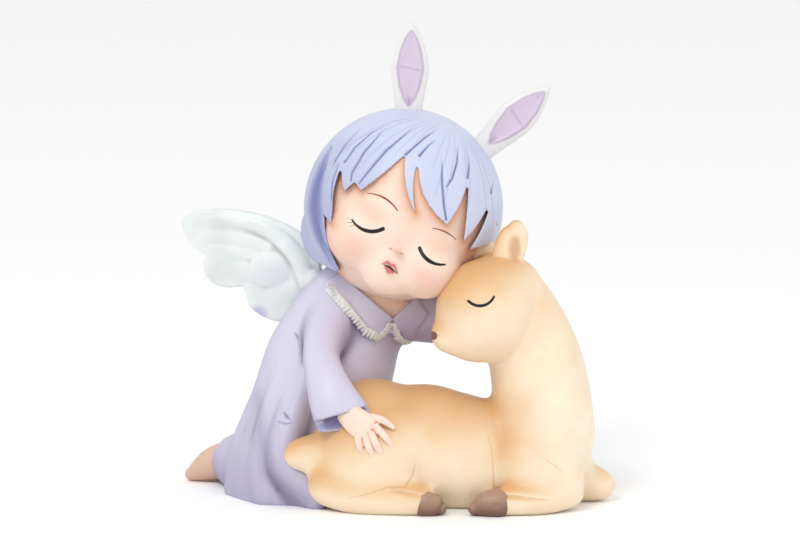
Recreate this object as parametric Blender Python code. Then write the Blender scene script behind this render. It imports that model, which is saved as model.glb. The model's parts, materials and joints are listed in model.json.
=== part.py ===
"""Angel figurine: a sleeping girl in a long gown leans over a lying fawn.

The girl and the fawn are one resin cast with a flat underside. The two wings and the two rabbit
ears are cast by themselves, and each is glued to the cast with a thin gap all round its seat.
+X runs to the viewer's right, +Y away from the viewer and +Z up; the origin is on the ground.

The cast is a free form, so its pose and proportions are shares of its height: one share is one
146th of it. Closed rolls and balls of clay overlap, are fused into one skin and softened.
"""

import math

import bmesh
import bpy
import numpy as np
from mathutils import Matrix, Vector
from mathutils.bvhtree import BVHTree

# Driving sizes, in metres
HEIGHT = 0.146
GLUE_GAP = 0.0004
WING_THICKNESS = 0.0052
WING_SPAN = 0.0430
EAR_LENGTH = 0.0278
EAR_WIDTH = 0.0122
EAR_THICKNESS = 0.0048
EAR_HOLLOW = 0.0012
CUFF_WALL = 0.0014

SHARE = HEIGHT / 146

# How finely the clay is fused, in shares, and how many triangles each piece keeps
BROAD_CELL = 1.25
FINE_CELL = 0.8
HAIR_CELL = 0.6
CAST_CELL = 0.62
CAST_TRIANGLES = 7600
WING_TRIANGLES = 700
EAR_TRIANGLES = 260

WORLD = Matrix.Identity(4)

# The girl's head: centre, in shares, its tilt back and its lean to the viewer's right, in degrees
HEAD_CENTRE = (2.0, -2.0, 89.0)
HEAD_TILT, HEAD_LEAN = 8.0, 25.5
HEAD = (
    Matrix.Translation(HEAD_CENTRE)
    @ Matrix.Rotation(math.radians(-HEAD_TILT), 4, "X")
    @ Matrix.Rotation(math.radians(HEAD_LEAN), 4, "Y")
)
HAIR_RADIUS = 30.6

# Outlines that lie across the figurine are drawn in FRONT, whose x and z are square to a line of
# sight tilted like the head; its y runs away from the viewer
FRONT = Matrix.Translation((0, -42, 0)) @ Matrix.Rotation(math.radians(-HEAD_TILT), 4, "X")

# Colours are linear RGB, roughness, metallic
FINISHES = {
    "gown": ((0.50, 0.47, 0.62), 0.45, 0.0),
    "hair": ((0.52, 0.52, 0.78), 0.40, 0.0),
    "skin": ((0.82, 0.60, 0.50), 0.40, 0.0),
    "fawn": ((0.76, 0.54, 0.32), 0.45, 0.0),
    "hoof": ((0.26, 0.15, 0.11), 0.40, 0.0),
    "lace": ((0.78, 0.78, 0.74), 0.50, 0.0),
    "pearl_white": ((0.74, 0.77, 0.76), 0.30, 0.0),
    "ear_white": ((0.82, 0.79, 0.79), 0.35, 0.0),
}


def clear_scene():
    for obj in list(bpy.data.objects):
        bpy.data.objects.remove(obj)


def material(name):
    colour, roughness, metallic = FINISHES[name]
    made = bpy.data.materials.new(name)
    made.use_nodes = True
    made.diffuse_color = (*colour, 1.0)
    shader = made.node_tree.nodes["Principled BSDF"]
    shader.inputs["Base Color"].default_value = (*colour, 1.0)
    shader.inputs["Roughness"].default_value = roughness
    shader.inputs["Metallic"].default_value = metallic
    return made


# Clay forms: each adds one closed form to a bmesh


def ball(clay, centre, radii, lean=0.0, frame=WORLD):
    """An ellipsoid. lean turns it clockwise, in degrees, as the viewer sees it."""
    place = frame @ Matrix.Translation(centre) @ Matrix.Rotation(math.radians(lean), 4, "Y")
    radii = (radii,) * 3 if isinstance(radii, (int, float)) else radii
    bmesh.ops.create_icosphere(
        clay, subdivisions=4, radius=1.0, matrix=place @ Matrix.Diagonal((*radii, 1.0))
    )


def eased(stations, steps=6):
    """Points on a smooth curve through the stations, sizes included."""
    knots = np.array(stations, float)
    knots = np.vstack([2 * knots[0] - knots[1], knots, 2 * knots[-1] - knots[-2]])
    points = []
    for a, b, c, d in zip(knots, knots[1:], knots[2:], knots[3:]):
        for t in np.linspace(0, 1, steps, endpoint=False):
            cubic = (2 * a - 5 * b + 4 * c - d) * t**2 + (3 * b - a - 3 * c + d) * t**3
            points.append(0.5 * (2 * b + (c - a) * t + cubic))
    return np.array(points + [knots[-2]])


def roll(clay, stations, frame=WORLD, facing=(0.0, -1.0, 0.0), sides=14, edge=1.0, steps=6):
    """A roll of clay through stations (x, y, z, half width, half thickness), with round ends.
    Its thickness lies along facing. An edge above 1 draws the section out to a thin rim on
    both sides."""
    path = eased(stations, steps)
    centres, widths, depths = path[:, :3], np.maximum(path[:, 3], 0.05), np.maximum(path[:, 4], 0.05)
    tangents = np.gradient(centres, axis=0)
    tangents /= np.linalg.norm(tangents, axis=1)[:, None]
    rings = [(centres[0], tangents[0], k, widths[0], depths[0]) for k in (-0.95, -0.8, -0.45)]
    rings += [(c, t, 0.0, w, d) for c, t, w, d in zip(centres, tangents, widths, depths)]
    rings += [(centres[-1], tangents[-1], k, widths[-1], depths[-1]) for k in (0.45, 0.8, 0.95)]
    angles = np.linspace(0, 2 * math.pi, sides, endpoint=False)
    loops = []
    for centre, tangent, beyond, width, depth in rings:
        out = np.array(facing, float)
        out = out - (out @ tangent) * tangent
        out /= np.linalg.norm(out)
        side = np.cross(tangent, out)
        shrink = math.sqrt(1 - beyond**2)
        middle = centre + tangent * beyond * min(width, depth)
        loop = []
        for a in angles:
            thin = math.sin(a) * abs(math.sin(a)) ** (edge - 1)
            point = middle + shrink * (side * width * math.cos(a) + out * depth * thin)
            loop.append(clay.verts.new(frame @ Vector(point)))
        loops.append(loop)
    for first, second in zip(loops, loops[1:]):
        for i in range(sides):
            j = (i + 1) % sides
            clay.faces.new((first[i], first[j], second[j], second[i]))
    clay.faces.new(loops[0][::-1])
    clay.faces.new(loops[-1])
    bmesh.ops.recalc_face_normals(clay, faces=clay.faces[-(sides * (len(loops) - 1) + 2) :])


def bowed(outline, steps=5):
    """A closed outline through points (across, up, bow). Each side bows out to the left of its
    run by its bow, a share of its length."""
    corners = np.array(outline, float)
    points = []
    for (x, z, bow), (x2, z2, _) in zip(corners, np.roll(corners, -1, axis=0)):
        for t in np.linspace(0, 1, steps, endpoint=False):
            push = 4 * bow * t * (1 - t)
            points.append((x + (x2 - x) * t - (z2 - z) * push, z + (z2 - z) * t + (x2 - x) * push))
    return np.array(points)


def slab(clay, outline, front, back, frame=WORLD):
    """An outline drawn across and up, made solid from front to back."""
    rings = [[clay.verts.new(frame @ Vector((x, y, z))) for x, z in outline] for y in (front, back)]
    faces = [clay.faces.new(rings[0]), clay.faces.new(rings[1][::-1])]
    for i in range(len(outline)):
        j = (i + 1) % len(outline)
        faces.append(clay.faces.new((rings[0][j], rings[0][i], rings[1][i], rings[1][j])))
    bmesh.ops.recalc_face_normals(clay, faces=faces)


# Carving: moving the vertices of a fused mesh


def to_lines(points, lines):
    """Distance of flat points to the nearest of some lines (across, up, worth), and that worth."""
    best, worth = np.full(len(points), np.inf), np.zeros(len(points))
    for line in lines:
        for a, b in zip(line, line[1:]):
            run = np.subtract(b[:2], a[:2])
            t = np.clip((points - a[:2]) @ run / (run @ run), 0, 1)
            distance = np.linalg.norm(points - a[:2] - t[:, None] * run, axis=1)
            nearer = distance < best
            best = np.where(nearer, distance, best)
            worth = np.where(nearer, a[2] + (b[2] - a[2]) * t, worth)
    return best, worth


def within(points, outline):
    """Distance of flat points from a closed outline, positive inside it."""
    ring = [(*corner, 0.0) for corner in outline]
    distance, _ = to_lines(points, [ring + ring[:1]])
    inside = np.zeros(len(points), bool)
    for p, q in zip(outline, np.roll(outline, -1, axis=0)):
        spans = (p[1] > points[:, 1]) != (q[1] > points[:, 1])
        rise = q[1] - p[1] if q[1] != p[1] else 1e-9
        inside ^= spans & (points[:, 0] < p[0] + (points[:, 1] - p[1]) * (q[0] - p[0]) / rise)
    return np.where(inside, distance, -distance)


def vertex_values(mesh, name):
    flat = np.empty(len(mesh.vertices) * 3)
    mesh.vertices.foreach_get(name, flat)
    return flat.reshape(-1, 3)


def seen_from(mesh, frame):
    """Vertices in a frame's own coordinates, and which of them face its front."""
    back = np.array(frame.inverted())
    facing = vertex_values(mesh, "normal") @ back[1, :3]
    return vertex_values(mesh, "co") @ back[:3, :3].T + back[:3, 3], facing < 0.15


def moved(mesh, outward):
    """Moves each vertex along its normal by its share in outward."""
    points = vertex_values(mesh, "co") + vertex_values(mesh, "normal") * outward[:, None]
    mesh.vertices.foreach_set("co", points.ravel())
    mesh.update()


def pressed(mesh, centre, depths):
    """Moves each vertex towards a centre by its share in depths."""
    points = vertex_values(mesh, "co")
    reach = points - np.array(centre)
    points -= reach / np.linalg.norm(reach, axis=1)[:, None] * depths[:, None]
    mesh.vertices.foreach_set("co", points.ravel())
    mesh.update()


def grooved(mesh, frame, lines, width):
    """Draws grooves along lines (across, up, depth) into the side that faces the frame's front."""
    points, front = seen_from(mesh, frame)
    distance, depth = to_lines(points[:, [0, 2]], lines)
    moved(mesh, -depth * np.exp(-((distance / width) ** 2)) * (front & (points[:, 1] < 30)))


# Turning clay into solids


def as_object(name, clay):
    mesh = bpy.data.meshes.new(name)
    clay.to_mesh(mesh)
    clay.free()
    obj = bpy.data.objects.new(name, mesh)
    bpy.context.scene.collection.objects.link(obj)
    return obj


def applied(obj):
    """The object's mesh with its modifiers applied; the object is removed."""
    graph = bpy.context.evaluated_depsgraph_get()
    mesh = bpy.data.meshes.new_from_object(obj.evaluated_get(graph))
    bpy.data.objects.remove(obj)
    return mesh


def clay_of(*meshes):
    clay = bmesh.new()
    for mesh in meshes:
        clay.from_mesh(mesh)
    return clay


def rounds_for(soft, cell):
    """How many rounds of evening out a grid of this cell spread a point over the distance soft."""
    return max(1, round((2 * soft / cell) ** 2))


def add_fuse(obj, cell, soft):
    """Modifiers that fuse overlapping forms into one skin and soften it over a distance."""
    fuse = obj.modifiers.new("Fuse", "REMESH")
    fuse.mode = "VOXEL"
    fuse.voxel_size = cell
    fuse.adaptivity = 0.0
    if soft:
        soften = obj.modifiers.new("Soften", "SMOOTH")
        soften.factor = 0.5
        soften.iterations = rounds_for(soft, cell)


def fused(name, clay, cell, soft):
    obj = as_object(name, clay)
    add_fuse(obj, cell, soft)
    return applied(obj)


def softened(mesh, soft, weight):
    """Evens a mesh out over the distance soft where weight is 1, and leaves it where it is 0."""
    points = vertex_values(mesh, "co")
    edges = np.empty(len(mesh.edges) * 2, int)
    mesh.edges.foreach_get("vertices", edges)
    a, b = edges.reshape(-1, 2).T
    count = len(points)
    links = (np.bincount(a, minlength=count) + np.bincount(b, minlength=count))[:, None]
    spread = np.linalg.norm(points[a] - points[b], axis=1).mean()
    for _ in range(rounds_for(soft, spread)):
        total = np.empty_like(points)
        for k in range(3):
            column = points[:, k]
            total[:, k] = np.bincount(a, column[b], count) + np.bincount(b, column[a], count)
        points += 0.5 * weight[:, None] * (total / links - points)
    mesh.vertices.foreach_set("co", points.ravel())
    mesh.update()


def add_cut(obj, cutter):
    cut = obj.modifiers.new("Cut " + cutter.name, "BOOLEAN")
    cut.operation = "DIFFERENCE"
    cut.object = cutter
    cutter.hide_render = True
    cutter.display_type = "WIRE"


def carved(name, clay, cutters):
    """A form with other forms cut out of it."""
    obj = as_object(name, clay)
    for cutter in cutters:
        add_cut(obj, as_object(name + " cutter", cutter))
    return applied(obj)


def thinned(obj, triangles):
    """Keeps about this many triangles, most of them where the form bends most."""
    graph = bpy.context.evaluated_depsgraph_get()
    before = obj.evaluated_get(graph).to_mesh()
    before.calc_loop_triangles()
    thin = obj.modifiers.new("Thin", "DECIMATE")
    thin.ratio = min(1.0, triangles / len(before.loop_triangles))


def largest_body(mesh):
    """Drops all but the largest closed body of a mesh, such as crumbs that a cut leaves."""
    work = clay_of(mesh)
    left, bodies = set(work.verts), []
    while left:
        grown, edge = set(), [left.pop()]
        while edge:
            vert = edge.pop()
            grown.add(vert)
            for link in vert.link_edges:
                other = link.other_vert(vert)
                if other in left:
                    left.remove(other)
                    edge.append(other)
        bodies.append(grown)
    bodies.sort(key=len)
    for crumb in bodies[:-1]:
        bmesh.ops.delete(work, geom=list(crumb), context="VERTS")
    work.to_mesh(mesh)
    work.free()


# The fawn

# The near hind leg, near foreleg, far foreleg and tail
FAWN_LEGS = [
    [
        (-21, -29, 7, 6.4, 7.8),
        (-12, -34.2, 5.2, 6.3, 6.3),
        (-1, -37.0, 4.6, 5.5, 5.5),
        (8, -38.2, 4.0, 4.7, 4.7),
    ],
    [
        (52, -30.5, 5.6, 5.6, 6.1),
        (44, -36.4, 4.4, 5.3, 5.3),
        (36, -38.4, 4.1, 4.7, 4.7),
        (30, -38.8, 4.0, 4.7, 4.7),
    ],
    [(48, -14, 9, 8, 8), (57.5, -15, 6.0, 6.8, 6.6), (62.6, -16, 5.0, 5.3, 5.5)],
    [(-17, -24, 18, 5.6, 5.6), (-25, -25.5, 17, 5.8, 5.8), (-29.8, -26, 16.2, 5.5, 5.6)],
]
NECK = [
    (45.5, -17, 22, 15.5, 16),
    (43.5, -17, 38, 15, 15),
    (40.6, -18, 49, 14, 14),
    (36.2, -18, 59, 12.8, 13),
    (31.8, -18, 64, 12.3, 12.5),
]
# Creases around the thigh, between barrel and shoulder, above the foreleg and on the shoulder
CREASES = [
    [(5.4, 15.5, 0.3), (4.7, 12.6, 1.0), (2.4, 8.9, 1.1), (-2.7, 9.0, 0.7), (-14.5, 5.6, 0.2)],
    [(26.7, 26.5, 0.3), (28.7, 21.0, 0.8), (29.0, 17.4, 1.1), (29.3, 10.4, 1.2), (29.5, 6.9, 0.8)],
    [(29.5, 6.9, 0.8), (37.5, 6.2, 0.5), (45.3, 5.0, 0.3)],
]
CREASE_WIDTH = 1.0


def fawn_body():
    """Rump, barrel, chest, neck, legs and tail, softened together, with creases drawn in."""
    clay = bmesh.new()
    ball(clay, (-7, -17, 18.5), (18.5, 20, 19.8))
    ball(clay, (8, -17, 19), (21, 17, 17.6))
    ball(clay, (13, -17, 15.5), (27, 19, 19))
    ball(clay, (44, -17, 21), (16, 17.5, 25))
    ball(clay, (22, -22, 11), (17, 13.5, 13))
    roll(clay, NECK)
    ball(clay, (-5.5, -26.0, 16.5), (19.0, 14.5, 16.5), lean=-18)
    ball(clay, (42.5, -27.5, 13), (15, 12, 12), lean=22)
    for leg in FAWN_LEGS:
        roll(clay, leg)
    mesh = fused("fawn body", clay, FINE_CELL, 3.0)
    grooved(mesh, FRONT, CREASES, CREASE_WIDTH)
    return mesh


def fawn_head():
    clay = bmesh.new()
    ball(clay, (27.5, -22, 60), 16)
    ball(clay, (31.5, -18.5, 62.8), 14.3)
    ball(clay, (25, -24, 54.5), (13, 11.5, 10.3))
    ball(clay, (17.2, -25.5, 53.2), (7.4, 7.2, 6.4))
    return fused("fawn head", clay, FINE_CELL, 2.2)


FAWN_EAR = [
    (31.8, -20.0, 73.0, 4.2, 3.0),
    (33.3, -20.5, 77.5, 4.5, 2.9),
    (34.7, -20.5, 81.5, 4.2, 2.5),
    (35.7, -20.5, 84.4, 3.1, 2.0),
    (36.0, -20.5, 86.0, 1.8, 1.4),
]


def fawn_ears():
    """The near ear with its hollow, and the far ear behind the head."""
    near = bmesh.new()
    roll(near, FAWN_EAR, facing=(0.25, -0.97, 0.0), sides=20)
    hollow = bmesh.new()
    ball(hollow, (36.7, -24.0, 79.9), (2.3, 2.7, 6.3), lean=12)
    clay = clay_of(carved("near ear", near, [hollow]))
    ball(clay, (25.9, -12.5, 77.0), (3.8, 2.6, 4.8), lean=20)
    return fused("fawn ears", clay, HAIR_CELL, 0.4)


def hooves():
    clay = bmesh.new()
    roll(clay, [(8.6, -38.8, 3.3, 4.2, 4.0), (11.6, -39.0, 2.6, 3.4, 3.2), (13.2, -39.0, 1.9, 1.8, 1.8)])
    roll(clay, [(30.2, -39.6, 3.8, 4.5, 4.5), (26.5, -39.8, 3.3, 3.9, 3.8), (23.4, -39.8, 2.1, 2.0, 2.2)])
    return fused("hooves", clay, FINE_CELL, 0.4)


# The gown

SKIRT = [
    (-29, 2, -3, 24, 26.5),
    (-28.5, 2.5, 6, 24, 26),
    (-27, 3.5, 15, 21.5, 23.5),
    (-25, 4.5, 28, 20, 20),
    (-20.5, 5.5, 40, 20.5, 16.5),
]
BODICE = [(-16, 6, 50, 18.6, 13.5), (-10.5, 5, 58, 17, 11.5), (-6, 4.5, 63, 15, 10.5), (-4, 3.5, 68, 9, 8)]
CHEST = (1, 4, 56), (11, 9, 8.5)
FOLDS = [
    [(-32, -6, 44, 3.6, 3.6), (-37.5, -11, 28, 4.4, 4.4), (-40.5, -15, 12, 5, 5), (-39, -19, 2, 6, 5)],
    [(-26, -9, 40, 4, 4), (-32, -17, 26, 4.5, 4.5), (-34, -22, 13, 5, 5), (-24, -27, 2.5, 5, 4)],
    [(-36, 6, 40, 4, 4), (-42.5, 5, 26, 4.5, 4.5), (-47.5, 1, 12, 5, 5), (-49, -4, 1, 5, 4)],
    [(-33, 21, 36, 4.5, 4.5), (-41, 24, 20, 5, 5), (-46, 27, 3, 5.5, 5)],
    [(-20, 20, 42, 4.5, 4.5), (-24, 26, 22, 5.5, 5.5), (-26, 29, 3, 6, 5)],
    [(-9, 16, 40, 4.5, 4.5), (-8, 22, 20, 5, 5), (-8, 24, 3, 6, 5)],
]


def skirt():
    """Skirt and bodice as one stack of ovals, with rolled folds laid on it."""
    clay = bmesh.new()
    roll(clay, SKIRT + BODICE, sides=28)
    ball(clay, (-48.5, 11, 7.5), (9.4, 12.5, 9))
    ball(clay, *CHEST)
    for fold in FOLDS:
        roll(clay, fold)
    return fused("skirt", clay, BROAD_CELL, 2.8)


RIGHT_ARM = [
    (-16, 3, 62, 7.5, 7.5),
    (-21, -6, 53, 6.9, 7.0),
    (-23.2, -18, 45, 6.0, 6.0),
    (-20.6, -28.5, 37.4, 7.2, 5.2),
    (-16.4, -34.2, 28.6, 8.8, 4.2),
]
LEFT_ARM = [
    (-1, 4, 56, 9, 9),
    (14, 4.5, 53.6, 8.3, 8.3),
    (27, 5, 52.4, 8.2, 7.6),
    (36, 4, 52.2, 9.4, 7.6),
]
RIGHT_FACING, LEFT_FACING = (-0.1, -0.85, 0.5), (0.0, -1.0, 0.0)
# The right cuff's front and back edges: what lies below them is cut away
CUFF_FRONT = [(-32.0, 26.4), (-24.4, 28.7), (-8.2, 33.6), (-2.0, 35.5), (-2.0, 8.0), (-32.0, 8.0)]
CUFF_BACK = [(-34.0, 24.7), (-24.7, 25.0), (-15.3, 25.9), (-1.0, 28.6), (-1.0, 6.0), (-34.0, 6.0)]


def sleeve(name, arm, facing, beyond, cuts):
    """A bell sleeve run past its mouth, bored to leave the cuff's wall and cut off by slabs
    (outline, front, back) across the figurine."""
    end, inner = Vector(arm[-1][:3]), Vector(arm[-2][:3])
    along = (end - inner).normalized()
    width, depth = arm[-1][3:]
    wall = CUFF_WALL / SHARE
    clay = bmesh.new()
    roll(clay, [*arm, (*(end + along * beyond), width, depth)] if beyond else arm, facing=facing, sides=24)
    bore = [
        (*(end + along * start), (width - wall) * share, (depth - wall) * share)
        for start, share in ((beyond - 5.0, 0.84), (beyond, 1.0), (beyond + 14.0, 1.1))
    ]
    mouth = bmesh.new()
    roll(mouth, bore, facing=facing, sides=24)
    cutters = []
    for outline, front, back in cuts:
        cutters.append(bmesh.new())
        slab(cutters[-1], np.array(outline), front, back, FRONT)
    cutters.append(mouth)
    return fused(name, clay_of(carved(name, clay, cutters)), HAIR_CELL, 0.35)


NECKLINE = [(-16.8, 72.6), (-1.2, 59.6), (5.4, 65.8), (10.0, 82.0), (-14.0, 84.0)]
FLAPS = [
    [(-17.8, 73.6), (-1.2, 59.8), (-3.2, 56.6), (-7.0, 53.4), (-12.2, 57.8), (-22.4, 70.2)],
    [(-1.2, 59.8), (5.6, 66.2), (9.6, 61.0), (4.2, 53.6), (0.6, 53.4), (-0.6, 57.0)],
]
FLAP_THICKNESS = 1.0
SKIN_DEPTH = 1.3
# Above the cuff the sleeves are blended into the bodice over this distance
CUFF_TOP, SLEEVE_BLEND = 34.0, 2.0


def gown():
    """The gown with its raised collar flaps and its open neck."""
    cuffs = [(CUFF_BACK, -8.0, 20.0), (CUFF_FRONT, -6.0, 4.2)]
    parts = [
        skirt(),
        sleeve("right sleeve", RIGHT_ARM, RIGHT_FACING, 4.0, cuffs),
        sleeve("left sleeve", LEFT_ARM, LEFT_FACING, 0.0, []),
    ]
    whole = fused("gown", clay_of(*parts), FINE_CELL, 0.4)
    points, front = seen_from(whole, FRONT)
    softened(whole, SLEEVE_BLEND, np.clip((points[:, 2] - CUFF_TOP) / 8, 0, 1))
    points, front = seen_from(whole, FRONT)
    raised = np.zeros(len(points))
    for flap in FLAPS:
        raised = np.maximum(raised, np.clip(within(points[:, [0, 2]], np.array(flap)) / 0.6 + 0.5, 0, 1))
    moved(whole, FLAP_THICKNESS * raised * (front & (points[:, 1] < 52)))
    opening = bmesh.new()
    slab(opening, np.array(NECKLINE), 0, 46, FRONT)
    return carved("gown", clay_of(whole), [opening])


LACE_PATHS = [
    [(-20.8, 69.1), (-14.3, 61.5), (-9.8, 56.1), (-5.9, 53.8), (-3.5, 55.8), (-2.4, 58.0)],
    [(-1.4, 58.0), (-0.2, 55.6), (0.9, 53.3), (3.4, 52.4)],
]
LACE_WIDTH = 1.5


def collar_lace(cloth):
    """A narrow band of lace along the edge of the collar, lying on the cloth."""
    faces = [tuple(polygon.vertices) for polygon in cloth.polygons]
    tree = BVHTree.FromPolygons(vertex_values(cloth, "co").tolist(), faces)
    inward = FRONT.to_3x3() @ Vector((0, 1, 0))
    clay = bmesh.new()
    for path in LACE_PATHS:
        for (x, z), (x2, z2) in zip(path, path[1:]):
            laid = []
            for t in (0, 0.5, 1):
                start = FRONT @ Vector((x + (x2 - x) * t, -60, z + (z2 - z) * t))
                point, normal, _, _ = tree.ray_cast(start, inward)
                laid.append((*(point + normal * 0.35), LACE_WIDTH, 0.8))
            roll(clay, laid, facing=tuple(normal), sides=12, steps=3)
    return fused("collar lace", clay, HAIR_CELL, 0.3)


# The girl's skin and hair

RIGHT_PALM = [(-15.2, -34.2, 30.6, 3.6, 2.4), (-12.6, -36.4, 28.6, 4.2, 2.3), (-9.4, -38.2, 26.4, 4.6, 2.0)]
LEFT_PALM = [(34, 2, 52.4, 4, 3.4), (40, -1.4, 52.8, 4.6, 2.9), (43.4, -4, 53, 4.2, 2.4)]
FEET = [
    [
        (-48, 15, 8, 6.5, 7),
        (-56.5, 16.5, 6.2, 5.4, 5.8),
        (-61.6, 17.6, 3.7, 3.8, 3.7),
        (-64.4, 18, 2.2, 2.2, 2.2),
    ],
    [(-46, 22, 6, 6, 6), (-54, 25, 4.4, 4.6, 4.2), (-60.5, 27, 2.4, 2.3, 2.3)],
]
RIGHT_FINGERS = [
    [(-11.8, -38.4, 25.2), (-11.4, -39.3, 21.8), (-10.6, -38.8, 19.4)],
    [(-9.6, -39.0, 24.6), (-8.4, -39.9, 20.8), (-6.9, -39.2, 17.9)],
    [(-7.8, -39.0, 25.0), (-6.0, -40.0, 21.4), (-4.4, -39.2, 18.2)],
    [(-6.4, -38.6, 27.0), (-3.6, -39.7, 24.2), (-1.5, -38.9, 21.2)],
    [(-7.4, -37.6, 29.8), (-4.0, -38.3, 28.8), (-1.2, -37.9, 26.7)],
]
LEFT_FINGERS = 4


def shrunk(stations, by):
    return [(x, y, z, width - by, depth - by) for x, y, z, width, depth in stations]


def head_and_neck():
    """The face's mask, and inside the collar the bodice's own forms, a little smaller."""
    clay = bmesh.new()
    ball(clay, (0, 0.3, 0), (27.5, 28.0, 27.6), frame=HEAD)
    ball(clay, (0, -0.6, 3), (25.5, 27.9, 25.4), frame=HEAD)
    for x in (-8.0, 13.5):
        ball(clay, (x, -16.0, -13.0), 10.8, frame=HEAD)
    ball(clay, (4.0, -17.0, -18.0), 9.0, frame=HEAD)
    mask = fused("mask", clay, FINE_CELL, 2.4)
    clay = bmesh.new()
    roll(clay, shrunk(BODICE, SKIN_DEPTH), sides=28)
    roll(clay, shrunk(RIGHT_ARM[:2], SKIN_DEPTH), facing=RIGHT_FACING)
    ball(clay, CHEST[0], [radius - SKIN_DEPTH for radius in CHEST[1]])
    roll(clay, [(-6, 6, 56, 8, 7), (-3, 4, 63, 9.5, 8), (1, 2, 71, 10, 9)])
    neck = fused("neck", clay, FINE_CELL, 0.9)
    clay = clay_of(mask, neck)
    ball(clay, (3.7, -28.2, -12.3), (1.6, 1.6, 1.4), frame=HEAD)
    return clay


def hands_and_feet(clay):
    roll(clay, RIGHT_PALM)
    for finger in RIGHT_FINGERS:
        roll(clay, [(*point, size, size) for point, size in zip(finger, (1.3, 1.2, 0.95))], sides=10)
    roll(clay, LEFT_PALM, facing=(0.5, 1, 0))
    for drop in range(LEFT_FINGERS):
        knuckle, tip = (43.6, -4, 56.2 - 2.3 * drop), (47.6, -7.6, 57 - 2.8 * drop)
        roll(clay, [(*knuckle, 1.35, 1.35), (*tip, 1.1, 1.1)], sides=10)
    for foot in FEET:
        roll(clay, foot)


def skin():
    clay = head_and_neck()
    hands_and_feet(clay)
    return fused("skin", clay, HAIR_CELL, 0.3)


# The opening of the hair, in the head's frame: (across, up, bow)
HAIRLINE = [
    (-6.3, 14.6, 0.02),
    (-13.8, -1.3, 0.0),
    (-16.6, 0.4, 0.0),
    (-18.2, -3.6, 0.08),
    (-22.3, 4.7, -0.07),
    (-17.2, -14.3, 0.0),
    (-21.8, -12.1, -0.075),
    (-9.2, -26.7, 0.0),
    (-6.5, -36.0, 0.0),
    (40.0, -36.0, 0.0),
    (40.0, 2.7, 0.0),
    (31.0, 2.7, 0.0),
    (24.9, -2.0, 0.0),
    (23.5, -3.6, -0.06),
    (22.6, 15.5, 0.065),
    (20.9, -1.6, -0.015),
    (14.0, 16.5, 0.06),
    (14.2, 0.7, 0.15),
    (-2.3, 16.1, -0.075),
    (4.3, -0.5, 0.085),
]
# The deeper layer of hair behind the locks at the viewer's left
RECESS = [(-27.9, 7.0, -0.205), (-9.6, -26.5, 0.075), (-21.8, -12.1, 0.05)]
RECESS_DEPTH = 1.7
# How far the hair's lower edge lies under the head's centre
HEM = -26.6
# Grooves between the locks: (across, up, depth)
LOCK_LINES = [
    [(-20.7, 21.4, 0.0), (-24.6, 9.4, 0.7), (-25.2, 3.9, 0.7), (-24.8, 1.4, 0.2)],
    [(-13.0, 23.0, 0.0), (-18.6, 16.5, 0.5), (-21.5, 10.0, 0.8), (-22.3, 4.7, 0.9)],
    [(-15.0, 20.5, 0.1), (-18.1, 10.3, 0.9), (-18.8, 2.5, 0.8), (-18.0, 0.2, 0.5)],
    [(-6.6, 25.6, 0.1), (-12.3, 13.1, 0.8), (-14.3, 5.1, 0.7), (-15.4, 0.2, 0.5)],
    [(-6.3, 14.6, 0.9), (-3.3, 21.8, 0.6), (-0.5, 26.5, 0.1)],
    [(-2.3, 16.1, 0.9), (-1.2, 20.0, 0.5), (1.0, 24.0, 0.05)],
    [(4.2, 18.4, 0.1), (7.3, 12.2, 0.9), (10.6, 6.4, 0.9), (13.6, 1.9, 0.9)],
    [(6.5, 25.0, 0.05), (9.0, 19.3, 0.7), (9.8, 14.2, 0.8), (9.2, 10.7, 0.5)],
    [(14.0, 16.5, 0.9), (12.7, 20.2, 0.5), (10.1, 24.1, 0.05)],
    [(22.6, 15.5, 0.8), (21.0, 20.9, 0.1)],
    [(28.5, 7.5, 0.6), (26.2, 13.2, 0.6), (22.7, 18.3, 0.1)],
]
LOCK_LINE_WIDTH = 0.8
BACK_LINES = 15


def hair():
    """A bob: a full cap opened along its fringe, grooved between its locks."""
    clay = bmesh.new()
    ball(clay, (0, 0.4, 0), (HAIR_RADIUS, 30.2, HAIR_RADIUS), frame=HEAD)
    ball(clay, (-9, 6, -14), (18, 17, 15.5), frame=HEAD)
    whole = fused("cap", clay, FINE_CELL, 0.6)
    opening = bmesh.new()
    slab(opening, bowed(HAIRLINE), -40, -1, HEAD)
    hem = bmesh.new()
    aim = Vector((0.45, -0.5, -0.74)).to_track_quat("Z", "X").to_matrix().to_4x4()
    place = HEAD @ Matrix.Translation((24, -18, -2)) @ aim @ Matrix.Translation((0, 0, 40))
    bmesh.ops.create_cube(hem, size=80.0, matrix=place)
    below = bmesh.new()
    bmesh.ops.create_cube(below, size=80.0, matrix=HEAD @ Matrix.Translation((0, 0, HEM - 40)))
    mesh = fused("hair", clay_of(carved("hair", clay_of(whole), [opening, hem, below])), HAIR_CELL, 0.3)
    points, _ = seen_from(mesh, HEAD)
    sunk = np.clip(within(points[:, [0, 2]], bowed(RECESS)) / 0.7 + 0.5, 0, 1)
    distance, depth = to_lines(points[:, [0, 2]], LOCK_LINES)
    grooves = depth * np.exp(-((distance / LOCK_LINE_WIDTH) ** 2))
    in_front = points[:, 1] < 0
    pressed(mesh, HEAD_CENTRE, (RECESS_DEPTH * sunk + grooves) * in_front + behind_lines(points))
    return mesh


def behind_lines(points):
    """Depths of grooves that run from the crown down the back of the head, bending a little."""
    turn = np.arctan2(points[:, 1], points[:, 0])
    sway = 0.16 * np.sin(points[:, 2] / 9.0) + 0.06 * np.cos(points[:, 2] / 4.0)
    place = (turn + sway) / math.pi * BACK_LINES
    off = np.abs(place - np.round(place)) * math.pi / BACK_LINES * np.hypot(points[:, 0], points[:, 1])
    fade = np.clip((points[:, 1] - 1) / 7, 0, 1) * np.clip((25 - points[:, 2]) / 12, 0, 1)
    return 0.9 * np.exp(-((off / 1.1) ** 2)) * fade


# The cast


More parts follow.
